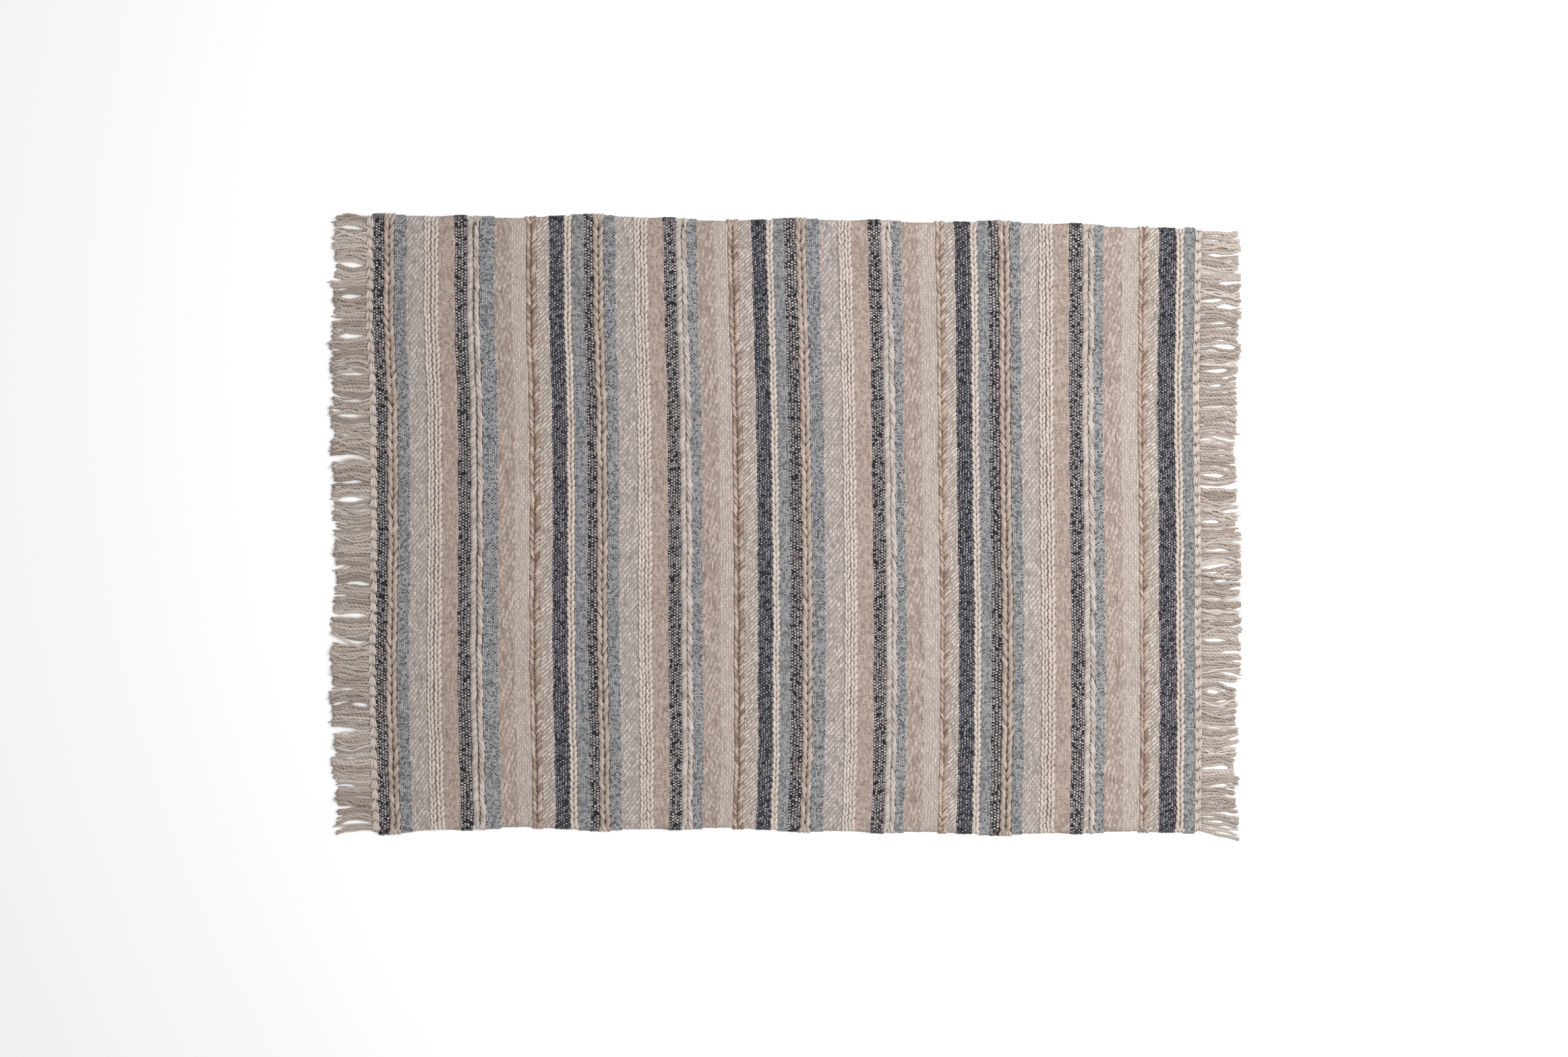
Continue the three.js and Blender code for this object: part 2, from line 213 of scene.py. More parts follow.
# How uneven a row of stitches is: steps up the rug, place along X, lean in degrees, distance of yarns
# side by side, slip along themselves, height and size
STITCH_UNEVEN = {"step": 0.07, "x": 0.35, "lean": 3, "apart": 0.12, "slip": 0.6, "z": 0.25, "size": 0.14}

# Grains of yarn that stand proud of the weave: size, rise of their middle over the band's top, and
# the share of them that is kept. The shake of a grain is how far it is out of place along X, Y and
# Z, out of line in degrees, and out of size as a share, each with its seed
GRAINS = "piece yarn lean long wide high fat rise blunt shake kept"
FLOAT_SHAKE = ((0.5, 5), (1.0, 6), (0.25, 7), (11, 8), (0.2, 9))
BEAD_SHAKE = ((0.4, 32), (0.3, 33), (0.1, 36), (14, 34), (0.25, 35))
FLOATS = named(GRAINS, {
    "navy": ("navy_floats", "navy yarn", 16, 11.4, 4.3, 3.0, 0, -0.2, 0.22, FLOAT_SHAKE, 0.95),
    "birdseye": ("birdseye_floats", "birdseye yarn", 2, 7.4, 3.2, 2.0, 0, -0.1, 0.22, FLOAT_SHAKE, 0.85),
    "beige twill": ("twill_floats", "twill yarn", 20, 9.4, 2.6, 1.9, 0, -0.12, 0.22, FLOAT_SHAKE, 0.58),
})
BEAD = dict(zip(GRAINS.split(), ("warp_beads", "bead yarn", 90, 4.9, 3.3, 1.6, 0, 0, 0.3, BEAD_SHAKE)))

# Wefts that turn back at the long edges, and yarns that fan out at the ends of the raised bands:
# size, width as a share of their spacing, height of their middle, and lean in degrees, which is by
# chance for wefts and grows to the sides of a band for the fanned yarns
TURN = {"long": 8.0, "high": 3.8, "fat": 0, "spaced": 1.25, "middle": 2.7, "lean": 7}
FAN = {"long": 13.0, "high": 5.0, "fat": 0.1, "spaced": 1.1, "middle": 4.6, "lean": 32}
FAN_APART = 6.5
FAN_YARNS = {made["band"]: made["yarn"] for made in RAISED.values()}

# Colours as seen on screen, 0 to 255: two shades of weft, the warp that shows, the painted shade in the
# gaps between threads, and odd flecked grains with their share. Then lean and fullness of the grains,
# size of the warp dots, how much the speckle is gathered in clumps, streaks and fuzz of the wool, and depth
# of the relief
LOOKS = "wefts warp gap fleck flecked lean fullness dots clumps streaks fuzz depth"
RUST = (146, 109, 85)
WEAVE_LOOKS = named(LOOKS, {
    "charcoal": (((36, 34, 40), (112, 106, 111)), (176, 167, 165), (27, 26, 31), (124, 117, 120),
                 0.14, 0.15, 1, 0.7, 6.0, 0.9, 0.7, 0.7),
    "blue": (((114, 117, 122), (166, 166, 168)), (174, 170, 168), (106, 107, 110), (70, 73, 81),
             0.18, 0, 1, 0.75, 2.8, 0.8, 0.7, 0.7),
    "deep blue": (((118, 120, 125), (166, 165, 166)), (180, 176, 173), (108, 109, 112), (66, 70, 78),
                  0.2, 0, 1, 0.75, 2.8, 0.8, 0.7, 0.7),
    "light blue": (((116, 118, 122), (162, 162, 163)), (170, 167, 165), (108, 109, 112), (76, 79, 85),
                   0.13, 0, 1, 0.75, 2.8, 0.8, 0.7, 0.7),
    "beige twill": (((160, 150, 144), (192, 182, 176)), (156, 145, 139), (148, 138, 132), (136, 129, 127),
                    0.08, 0.35, 1, 1, 2.6, 0.8, 1.1, 0.4),
    "tan plain": (((150, 134, 125), (180, 164, 154)), (170, 154, 144), (146, 130, 121), RUST,
                  0.05, 0, 1, 1, 3.0, 1.0, 1.4, 0.35),
    "tan rib": (((153, 138, 129), (181, 167, 158)), (154, 139, 129), (142, 127, 118), (138, 119, 107),
                0.06, 0.1, 1, 1, 2.6, 0.9, 1.2, 0.35),
    "birdseye": (((164, 152, 144), (181, 169, 161)), (172, 160, 152), (163, 151, 143), (162, 150, 142),
                 0.05, 0, 0.8, 1, 1.6, 1.0, 1.2, 0.25),
    "fine twill": (((166, 155, 147), (200, 189, 181)), (144, 132, 124), (157, 146, 138), (148, 138, 131),
                   0.12, 0.5, 1, 1, 2.6, 1.2, 1.2, 0.4),
    "navy": (((42, 42, 50), (82, 81, 91)), (186, 177, 170), (31, 30, 35), (68, 67, 73),
             0.05, 0.4, 0.9, 0.65, 1.6, 0.5, 0.7, 0.7),
})
# The ground under braids and chains: dark brown, or paler under the cream chains, painted as the shade that
# falls between their stitches
SHADOW_GROUND_LOOKS = named(LOOKS, {
    "bed": (((108, 88, 76), (120, 99, 86)), (124, 103, 90), (84, 67, 57), (90, 73, 63),
            0.1, 0, 1, 1, 1.6, 0.5, 0.7, 0.7),
    "pale bed": (((148, 127, 114), (160, 138, 125)), (162, 141, 128), (126, 106, 94), (128, 108, 96),
                 0.1, 0, 1, 1, 1.6, 0.5, 0.7, 0.7),
})

# Of a yarn: two shades, the colour of painted shade in its ply furrows and at its ends, the plies and their
# turns along it, how deep that painted shade is in the furrows and at the ends where they dive, and the
# relief
YARN_LOOKS = named("shades furrow plies deep ends relief", {
    "brown yarn": (((196, 181, 170), (158, 142, 131)), (104, 81, 68), (3, 1.2), 0.25, 1.0, 1.0),
    "cream yarn": (((202, 190, 181), (188, 176, 167)), (122, 97, 82), (2, 0.6), 0.15, 0.8, 0.4),
    "grey yarn": (((198, 188, 182), (160, 148, 140)), (126, 107, 96), (3, 1.0), 0.15, 0.6, 0.3),
    "herringbone yarn": (((196, 180, 168), (130, 106, 92)), (82, 56, 44), (2, 0.8), 0.25, 1.0, 0.6),
    "navy yarn": (((36, 36, 45), (146, 145, 156)), (32, 31, 37), (3, 0.8), 0.3, 0.6, 0.3),
    "birdseye yarn": (((216, 206, 199), (190, 178, 170)), (172, 160, 152), (2, 0.6), 0, 0.5, 0),
    "twill yarn": (((199, 190, 184), (156, 146, 141)), (156, 146, 140), (2, 0.6), 0, 0.6, 0),
    "bead yarn": (((208, 199, 192), (168, 160, 155)), (96, 90, 89), (2, 0.6), 0, 0.5, 0),
    "strand yarn": (((194, 182, 173), (152, 138, 128)), (104, 85, 74), (PLIES, PLY_TURNS), 0.6, 0.1, 1.0),
    "smooth strand yarn": (((208, 198, 190), (156, 142, 132)), (124, 105, 93), (3, 3), 0.3, 0.1, 0.5),
    "edge yarn": (((200, 189, 180), (182, 169, 159)), (120, 98, 84), (2, 1), 0.4, 0.8, 1.0),
    "edge ground": (((128, 108, 95), (118, 99, 86)), (88, 69, 58), (2, 90), 0.6, 0, 1.0),
})
TURN_LOOK = {"plies": (2, 0.6), "deep": 0.5, "ends": 0.6, "relief": 1.0}
YARN_STREAKS = 0.35
YARN_FUZZ = 0.6
YARN_DEPTH = 0.6
FIBRE_RELIEF = 0.3

# Noise: its scale along X, Y and Z, a metre, and its detail
NOISES = {
    "drift": ((130, 130, 130), 2),
    "patch": ((70, 45, 70), 2),
    "clump": ((170, 120, 170), 1),
    "broad": ((9, 9, 9), 2),
    "streak": ((230, 60, 230), 3),
    "fibre": ((1100, 700, 1100), 2),
}
DRIFT_WEFTS = 0.45
DRIFT_WARPS = 1.1

# The selvedge lines: distance of the long edges from the middle line, left to right
SELVEDGES = {
    "x": (-802, -696, -537, -378, -166, 46, 205, 417, 577, 805),
    "top": (609, 607, 605, 608, 600, 600, 597, 595, 590, 582),
    "bottom": (-607, -600, -596, -599, -597, -601, -604, -608, -605, -605),
}

# How far the bands wander along X, at the two ends and where each repeat begins, up the rug
WANDER_ROWS = (-585, -446, -307, -168, 0, 250, 389, 575)
WANDER_SHIFTS = (
    (4.5, 5.5, -3.5, -1.5, 0.5),
    (0, 4, 1, 1.5, 1.5),
    (-3, 1, 1, 2.5, 1.5),
    (-1, -0.5, 1.5, 2.5, 0),
    (0, 0, 0, 0, 0),
    (-1.5, -2, -3.5, -2.5, -3.5),
    (-7.5, -6.5, -7.5, -3, -1),
    (-7, -8, -12.5, -5.5, 2),
)

# Where the fringes part: place up the rug, width, and the stretch of the strands, root 0 to tip 1
LEFT_GAPS = (
    (580, 9, 0.1, 0.9), (510, 8, 0.15, 0.9), (453, 11, 0.15, 0.9), (385, 6, 0.1, 1),
    (369, 10, 0.1, 0.95), (297, 4, 0.2, 0.85), (272, 5, 0.1, 0.8), (249, 8, 0.1, 0.8),
    (216, 8, 0.3, 0.8), (172, 6, 0.25, 0.85), (126, 15, 0, 1.7), (85, 6, 0.2, 0.7),
    (53, 5, 0.2, 0.9), (-4, 4, 0.2, 0.7), (-80, 8, 0.3, 1.6), (-119, 10, 0.05, 0.75),
    (-158, 6, 0.1, 0.8), (-176, 7, 0.1, 0.8), (-228, 11, 0.2, 1.4), (-284, 6, 0.1, 0.85),
    (-326, 6, 0.05, 0.65), (-354, 6, 0, 0.5), (-400, 10, 0.35, 1.5), (-512, 6, 0.2, 1.2),
    (-562, 8, 0.4, 1.6), (-590, 8, 0.05, 0.8),
)
RIGHT_GAPS = (
    (536, 5, 0.2, 0.7), (479, 8, 0.3, 1.6), (440, 8, 0.05, 0.7), (425, 14, 0.4, 1.5),
    (394, 5, 0.4, 1), (352, 7, 0.35, 0.9), (308, 8, 0.1, 0.8), (277, 8, 0.15, 0.75),
    (230, 8, 0.15, 0.75), (192, 5, 0.15, 1.2), (168, 5, 0.1, 1.1), (97, 5, 0.1, 0.8),
    (80, 9, 0, 1.8), (28, 9, 0.15, 1.3), (5, 9, 0.1, 0.75), (-36, 6, 0.45, 1.5),
    (-55, 6, 0.15, 0.8), (-87, 6, 0.1, 0.8), (-113, 7, 0.3, 0.8), (-169, 5, 0.25, 0.7),
    (-202, 8, 0.1, 0.8), (-226, 9, 0.1, 0.85), (-249, 7, 0.2, 1.3), (-312, 9, 0.4, 1.6),
    (-329, 7, 0.15, 0.75), (-372, 10, 0.7, 1.6), (-425, 5, 0.6, 1.6), (-479, 9, 0.1, 1),
    (-518, 5, 0.2, 0.8), (-564, 8, 0.6, 1.7),
)

# The two ends of the rug; splay is how far the tips of the lowest strands swing outwards
ENDS = {
    "left": {"side": -1, "gaps": LEFT_GAPS, "splay": 12, "seed": 11},
    "right": {"side": 1, "gaps": RIGHT_GAPS, "splay": 30, "seed": 47},
}

# Fringe yarns: half their width and how uneven it is, the room they take, the rings and sides they
# are built with, and how high they lie, loose or over others. A thick strand has the spiral groove
# of two plies turned round each other, deep as a share of its half
STRANDS = 262
THICK_SHARE = 0.46
THICK = {"half": 3.5, "uneven": 0.16, "seed": 61, "room": 6.5, "rings": 34, "sides": 8, "loose": 1.1,
         "over": 4.2, "lift seed": 63}
THIN = {"half": 2.0, "uneven": 0.14, "seed": 62, "room": 3.8, "rings": 16, "sides": 6, "loose": 0.8,
        "over": 5.6, "lift seed": 64}
GROOVE = 0.3
OVER_ROOM = 0.8
THICK_OVER_FROM = 0.82
THIN_OVER_FROM = 0.3
LEVEL_CORNER = 25
FIBRES = 5
TUFT = 5.6
STATIONS = 9
PASSES = 60

# How strands sway in bundles, as reach and wavelength up the rug: to one side, in a bow and in an S
# bend. Then the swing and bow of those that lie over others, how much of a gap each side gives, the
# fade of the corner's splay, how far tips are drawn into tufts, and thin strands that stray past
SIDE_SWAY = (3, 61)
BOW_SWAY = (5, 37)
BEND_SWAY = (2, 13)
SWING = 12
BOW = 11
GAP_SHARE = 0.72
CORNER_FADE = 18
TUFT_DRAW = 0.14
STRAY_FROM = 0.9
STRAY_REACH = 7

# The twined edge: its two columns of loops by place, shift up the rug and lean, and their yarns
LOOP_COLUMNS = ((2.7, -0.06, -5), (8.6, 0.06, 6))
LOOP = {"wide": 5.0, "high": 5.6, "fat": 0}
LOOP_YARNS = 2
LOOP_APART = 3.0
LOOP_MIDDLE = 4.9
LOOP_UNEVEN = {"place": 0.05, "x": 0.5, "slip": 1.1, "lean": 6, "z": 0.4, "size": 0.15}
GROUND_HALF = 1.7
GROUND_MIDDLE = 1.9


# Plain helpers


def uneven(index, seed):
    """A repeatable number from -1 to 1 for each piece and seed."""
    wave = np.sin(np.asarray(index, float) * 12.9898 + seed * 78.233) * 43758.5453
    return 2 * (wave - np.floor(wave)) - 1


def smooth_line(places, values, at):
    """A smooth line through unevenly spaced values, flat beyond its ends."""
    places = np.asarray(places, float)
    values = np.asarray(values, float)
    at = np.clip(np.asarray(at, float), places[0], places[-1])
    count = len(places)
    low = np.clip(np.searchsorted(places, at, side="right") - 1, 0, count - 2)
    before = np.maximum(np.arange(count) - 1, 0)
    after = np.minimum(np.arange(count) + 1, count - 1)
    own = (np.arange(values.shape[1]),) if values.ndim > 1 else ()
    run = places[after] - places[before]
    slopes = (values[after] - values[before]) / (run[:, None] if own else run)
    value_low, value_high = values[(low, *own)], values[(low + 1, *own)]
    slope_low, slope_high = slopes[(low, *own)], slopes[(low + 1, *own)]
    width = places[low + 1] - places[low]
    t = (at - places[low]) / width
    from_low = value_low * (1 + 2 * t) * (1 - t) ** 2 + slope_low * width * t * (1 - t) ** 2
    from_high = value_high * (3 - 2 * t) * t**2 - slope_high * width * (1 - t) * t**2
    return from_low + from_high


def eased(value, low, high):
    """0 below low, 1 above high, and a soft step between them."""
    t = np.clip((value - low) / (high - low), 0, 1)
    return t * t * (3 - 2 * t)


# The chart of the cloth: where the bands start, and where a point of the chart lies on the floor


def band_places():
    """Every band of the rug, left to right, with its start and width on the flat chart."""
    total = sum(sum(band["widths"]) for band in BANDS)
    x = -total / 2
    placed = []
    for repeat in range(REPEATS):
        for band in BANDS:
            width = band["widths"][repeat]
            placed.append(dict(band, x=x, width=width, number=len(placed)))
            x += width
    return placed, total


PLACED, CLOTH_LENGTH = band_places()
REPEAT_LINES = [PLACED[repeat * len(BANDS)]["x"] for repeat in range(REPEATS)] + [CLOTH_LENGTH / 2]


def wander_at(x, y):
    x, y = np.broadcast_arrays(np.asarray(x, float), np.asarray(y, float))
    shifts = np.asarray(WANDER_SHIFTS, float)
    at_lines = [smooth_line(WANDER_ROWS, shifts[:, line], y.ravel()) for line in range(REPEATS + 1)]
    return smooth_line(REPEAT_LINES, np.array(at_lines), x.ravel()).reshape(x.shape)


def waver_at(x, y):
    """Small unevenness of hand weaving, which neighbouring bands share."""
    return 0.6 * np.sin(y / 21 + x / 13) + 0.4 * np.sin(y / 9.3 + x / 31) + 0.3 * np.sin(y / 5.1 - x / 17)


def selvedge_at(x, edge):
    return smooth_line(SELVEDGES["x"], SELVEDGES[edge], x)


def on_floor(x, share, past):
    """Where a point of the chart lies: x along the rug, and its share of the way up it."""
    low = selvedge_at(x, "bottom") - past
    high = selvedge_at(x, "top") + past
    y = low + (high - low) * share
    return x + wander_at(x, y) + waver_at(x, y), y


def end_line_at(y, side):
    """The cloth's end line, which the twined edge follows."""
    x = np.full(np.shape(y), side * CLOTH_LENGTH / 2)
    return x + wander_at(x, y)


def edge_span(side):
    x = side * CLOTH_LENGTH / 2
    return float(selvedge_at(x, "bottom")) + EDGE_INSET, float(selvedge_at(x, "top")) - EDGE_INSET


# Shader effects: node groups that several finishes share


def feed(tree, socket, value):
    """Joins a socket to a wire, or sets it to a value."""
    if isinstance(value, Wire):
        tree.links.new(value.socket, socket)
    else:
        socket.default_value = value


def node(tree, kind, inputs=None, **settings):
    """A new shader node with its settings, and its inputs by name or number."""
    made = tree.nodes.new("ShaderNode" + kind)
    for name, value in settings.items():
        setattr(made, name, value)
    for label, value in (inputs or {}).items():
        feed(tree, made.inputs[label], value)
    return made


class Wire:
    """A value in a node tree, on which plain arithmetic adds Math nodes."""

    def __init__(self, tree, socket):
        self.tree = tree
        self.socket = socket

    def maths(self, operation, *others):
        made = node(self.tree, "Math", dict(enumerate((self, *others))), operation=operation)
        return Wire(self.tree, made.outputs[0])

    def __add__(self, other):
        return self.maths("ADD", other)

    def __sub__(self, other):
        return self.maths("SUBTRACT", other)

    def __mul__(self, other):
        return self.maths("MULTIPLY", other)

    def __truediv__(self, other):
        return self.maths("DIVIDE", other)

    def __pow__(self, other):
        return self.maths("POWER", other)

    def floor(self):
        return self.maths("FLOOR")

    def size(self):
        return self.maths("ABSOLUTE")

    def flipped(self):
        """One minus the value."""
        made = node(self.tree, "Math", {0: 1.0, 1: self}, operation="SUBTRACT")
        return Wire(self.tree, made.outputs[0])

    def dome(self):
        """A round top where the value is below one."""
        return self.flipped().maths("MAXIMUM", 0) ** 0.5

    def eased(self, low, high):
        limits = {"Value": self, "From Min": low, "From Max": high}
        made = node(self.tree, "MapRange", limits, interpolation_type="SMOOTHSTEP")
        return Wire(self.tree, made.outputs["Result"])


def effect(name, vectors, numbers):
    """An empty node group with named inputs."""
    tree = bpy.data.node_groups.new(name, "ShaderNodeTree")
    for labels, kind in ((vectors, "NodeSocketVector"), (numbers, "NodeSocketFloat")):
        for label in labels.split():
            tree.interface.new_socket(label, in_out="INPUT", socket_type=kind)
    entry = tree.nodes.new("NodeGroupInput")
    return tree, {label: Wire(tree, entry.outputs[label]) for label in (vectors + " " + numbers).split()}


def put_out(tree, **results):
    """Ends a node group with its outputs."""
    for label in results:
        tree.interface.new_socket(label, in_out="OUTPUT", socket_type="NodeSocketFloat")
    leave = tree.nodes.new("NodeGroupOutput")
    for label, value in results.items():
        feed(tree, leave.inputs[label], value)
    return tree


def two_parts(tree, vector):
    split = node(tree, "SeparateXYZ", {0: vector})
    return Wire(tree, split.outputs["X"]), Wire(tree, split.outputs["Y"])


def by_chance(tree, first, second):
    """A number from 0 to 1 that stays the same for each pair of whole numbers."""
    pair = Wire(tree, node(tree, "CombineXYZ", {"X": first, "Y": second}).outputs[0])
    return Wire(tree, node(tree, "TexWhiteNoise", {"Vector": pair}, noise_dimensions="2D").outputs["Value"])


def object_place(tree):
    return Wire(tree, node(tree, "TexCoord").outputs["Object"])


def noise_from(tree, place, name, wanted="Fac"):
    """Stretched noise, as a number from 0 to 1 or as a colour."""
    scale, detail = NOISES[name]
    stretched = Wire(tree, node(tree, "Mapping", {"Vector": place, "Scale": scale}).outputs[0])
    made = node(tree, "TexNoise", {"Scale": 1.0, "Detail": detail, "Vector": stretched})
    return Wire(tree, made.outputs[wanted])


WEAVE_INPUTS = "Repeat Over Step Lean Fullness Dots Clumps"


def thread_weave():
    """Threads from a map counted in wefts and warps: grains of weft, dots of warp, gaps between for painted
    shade.
    """
    tree, given = effect("thread_weave", "Threads", WEAVE_INPUTS)
    spot = object_place(tree)
    drift_u, drift_v = two_parts(tree, noise_from(tree, spot, "drift", "Color"))
    patch = noise_from(tree, spot, "patch") - 0.5
    clump = noise_from(tree, spot, "clump") - 0.5
    u, v = two_parts(tree, given["Threads"])
    u = u + (drift_u - 0.5) * DRIFT_WEFTS
    v = v + (drift_v - 0.5) * DRIFT_WARPS
    weft = u.floor()
    row = v - weft * given["Step"]
    grain = (row / given["Repeat"]).floor()
    place = row - grain * given["Repeat"]
    along = place / given["Over"] * 2 - 1
    middle = (u - weft) * 2 - 1
    across = (middle - given["Lean"] * along) / given["Fullness"]
    round_grain = (across**2 + along.size() ** 3).dome()
    dot_along = ((place - given["Over"]) / (given["Repeat"] - given["Over"]) * 2 - 1) / given["Dots"]
    dot_across = (middle / given["Dots"] ** 0.5).size()
    round_dot = (dot_across**3 + dot_along**2).dome()
    shown = (by_chance(tree, weft + 0.5, grain) + clump * given["Clumps"]).eased(0.1, 0.3)
    tone = by_chance(tree, weft, grain) * 0.5 + patch * 2.4 + clump * (given["Clumps"] + 1.4) + 0.25
    return put_out(
        tree,
        Grain=round_grain.eased(0.0, 0.65),
        Dot=round_dot.eased(0.1, 0.6) * shown,
        Height=round_grain.maths("MAXIMUM", round_dot * 0.85),
        Tone=tone,
        Odd=by_chance(tree, grain + 0.5, weft),
    )


def yarn_twist():
    """Plies from a map with a yarn's number and place around it in U, and its place along in V."""
    tree, given = effect("yarn_twist", "Yarn", "Plies Turns")
    u, v = two_parts(tree, given["Yarn"])
    number = u.floor()
    phase = (u - number) * given["Plies"] + v * given["Turns"]
    ply = (phase * math.pi).maths("SINE").size()
    # Furrow marks where painted shade goes between the plies, Ends where it goes at both ends of the yarn
    return put_out(
        tree,
        Furrow=ply.eased(0.0, 0.55).flipped(),
        Height=ply**0.6,
        Ends=(v * 2 - 1).size() ** 5,
        Tone=by_chance(tree, number, 3),
    )


def wool_mottle():
    """Uneven dye and loose fibres of spun wool, in the object's own coordinates."""
    tree, given = effect("wool_mottle", "", "Streaks Fuzz")
    spot = object_place(tree)
    broad = noise_from(tree, spot, "broad") - 0.5
    streak = noise_from(tree, spot, "streak") - 0.5
    fibre = noise_from(tree, spot, "fibre") - 0.5
    shade = broad * 0.16 + streak * given["Streaks"] + fibre * given["Fuzz"] + 1.0
    return put_out(tree, Shade=shade, Fibre=fibre + 0.5)


EFFECTS = {"weave": thread_weave(), "twist": yarn_twist(), "mottle": wool_mottle()}


def dye(colour):
    """A colour of screen values from 0 to 255, as the shader wants it."""
    parts = [part / 255 for part in colour]
    linear = [part / 12.92 if part <= 0.04045 else ((part + 0.055) / 1.055) ** 2.4 for part in parts]
    return (*linear, 1.0)


def placed_effect(tree, name, **inputs):
    """An effect placed in a material, with its inputs set."""
    made = node(tree, "Group", node_tree=EFFECTS[name])
    for label, value in inputs.items():
        feed(tree, made.inputs[label], value)
    return {socket.name: Wire(tree, socket) for socket in made.outputs}


def mixed(tree, share, first, second):
    """Two colours mixed by a share."""
    made = node(tree, "Mix", {"Factor": share}, data_type="RGBA")
    colours = [socket for socket in made.inputs if socket.type == "RGBA"]
    feed(tree, colours[0], first)
    feed(tree, colours[1], second)
    return Wire(tree, next(socket for socket in made.outputs if socket.type == "RGBA"))


def mapped(tree, name):
    return Wire(tree, node(tree, "UVMap", uv_map=name).outputs["UV"])


def wool_material(name):
    """A material of matt wool with its node tree."""
    material = bpy.data.materials.new(name)
    material.use_nodes = True
    tree = material.node_tree
    shader = tree.nodes["Principled BSDF"]
    wool = {"Roughness": 0.92, "Specular IOR Level": 0.22, "Sheen Weight": 0.12, "Sheen Roughness": 0.5}
    for label, value in wool.items():
        shader.inputs[label].default_value = value
    return material, tree, shader


def dressed(tree, shader, colour, wool, height, depth):
    """Colour and relief of a wool material, with the wool's mottle and loose fibres."""
    shade = node(tree, "VectorMath", {0: colour, "Scale": wool["Shade"]}, operation="SCALE")
    tree.links.new(shade.outputs[0], shader.inputs["Base Color"])
    relief = {"Strength": 1.0, "Distance": depth * MM, "Height": height + wool["Fibre"] * FIBRE_RELIEF}
    tree.links.new(node(tree, "Bump", relief).outputs["Normal"], shader.inputs["Normal"])


def woven(name, weave, look):
    """Woven wool: two weft shades, odd flecked grains, the warp that shows as dots, and painted shade in the
    gaps.
    """
    material, tree, shader = wool_material(name)
    known = dict(WEAVES[weave], **look)
    inputs = {label: known[label.lower()] for label in WEAVE_INPUTS.split()}
    threads = placed_effect(tree, "weave", Threads=mapped(tree, "threads"), **inputs)
    wool = placed_effect(tree, "mottle", Streaks=look["streaks"], Fuzz=look["fuzz"])
    flecked = 1 - look["flecked"]
    colour = mixed(tree, threads["Tone"].eased(0.2, 0.8), dye(look["wefts"][0]), dye(look["wefts"][1]))
    colour = mixed(tree, threads["Odd"].eased(flecked - 0.05, flecked + 0.05), colour, dye(look["fleck"]))
    # Painted shade: the gap colour fills the gaps between threads and darkens the edges of the grains
    colour = mixed(tree, threads["Grain"], dye(look["gap"]), colour)
    colour = mixed(tree, threads["Dot"], colour, dye(look["warp"]))
    dressed(tree, shader, colour, wool, threads["Height"], look["depth"])
    return material


def spun(name, look):
    """Spun yarn: two shades by chance, painted shade in the furrows between its plies and where it dives."""
    material, tree, shader = wool_material(name)
    plies, turns = look["plies"]
    yarn = placed_effect(tree, "twist", Yarn=mapped(tree, "yarn"), Plies=plies, Turns=turns)
    wool = placed_effect(tree, "mottle", Streaks=YARN_STREAKS, Fuzz=YARN_FUZZ)
    colour = mixed(tree, yarn["Tone"], dye(look["shades"][0]), dye(look["shades"][1]))
    # Painted shade: the furrow colour goes into the furrows between plies and onto both ends of the yarn,
    # where it dives into the cloth
    colour = mixed(tree, yarn["Furrow"] * look["deep"], colour, dye(look["furrow"]))
    colour = mixed(tree, yarn["Ends"] * look["ends"], colour, dye(look["furrow"]))
    dressed(tree, shader, colour, wool, yarn["Height"] * look["relief"], YARN_DEPTH)
    return material


FINISHES = {name: woven(name + " weave", name, look) for name, look in WEAVE_LOOKS.items()}
FINISHES.update({name: spun(name, look) for name, look in YARN_LOOKS.items()})
for name, look in WEAVE_LOOKS.items():
    # Turned wefts take the weave's gap colour as painted shade in their furrows and at their ends
    turn = dict(TURN_LOOK, shades=look["wefts"], furrow=look["gap"])
    FINISHES[name + " turn"] = spun(name + " turn", turn)
# The ground under raised stitches, painted as the shade between them
FINISHES.update({name: woven(name, "charcoal", look) for name, look in SHADOW_GROUND_LOOKS.items()})


# Meshes


def new_piece(name, points, faces, maps, names, picks=None, crease=None):
    """A mesh object from points in millimetres, faces, UV maps and the names of its finishes."""
    mesh = bpy.data.meshes.new(name)
    points = (np.asarray(points, float) + (0, OUTLINE_LIFT, 0)) * MM
    mesh.from_pydata(points.tolist(), [], faces)
    for finish in names:
        mesh.materials.append(FINISHES[finish])
    if picks is not None:
        mesh.polygons.foreach_set("material_index", np.asarray(picks, np.int32))
    for label, corners in maps.items():
        layer = mesh.uv_layers.new(name=label)
        layer.data.foreach_set("uv", np.asarray(corners, np.float32).ravel())
    mesh.shade_smooth()
    if crease:
        mesh.set_sharp_from_angle(angle=crease)
    piece = bpy.data.objects.new(name, mesh)
    bpy.context.scene.collection.objects.link(piece)
    return piece


def stands_for(piece, node):
    """Puts a piece on the body, in place of a CAD node, which it hides."""
    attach(piece, "root")
    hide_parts(node)
    return piece


# Yarn: closed runs of yarn along short paths. In the map for baking each has a cell of its own, with
# margins, and its two caps past a small gap

CELL_MARGIN_U = 0.06
CELL_MARGIN_V = 0.09
CAP_GAP = 0.02
CAP_BULGE = 0.05


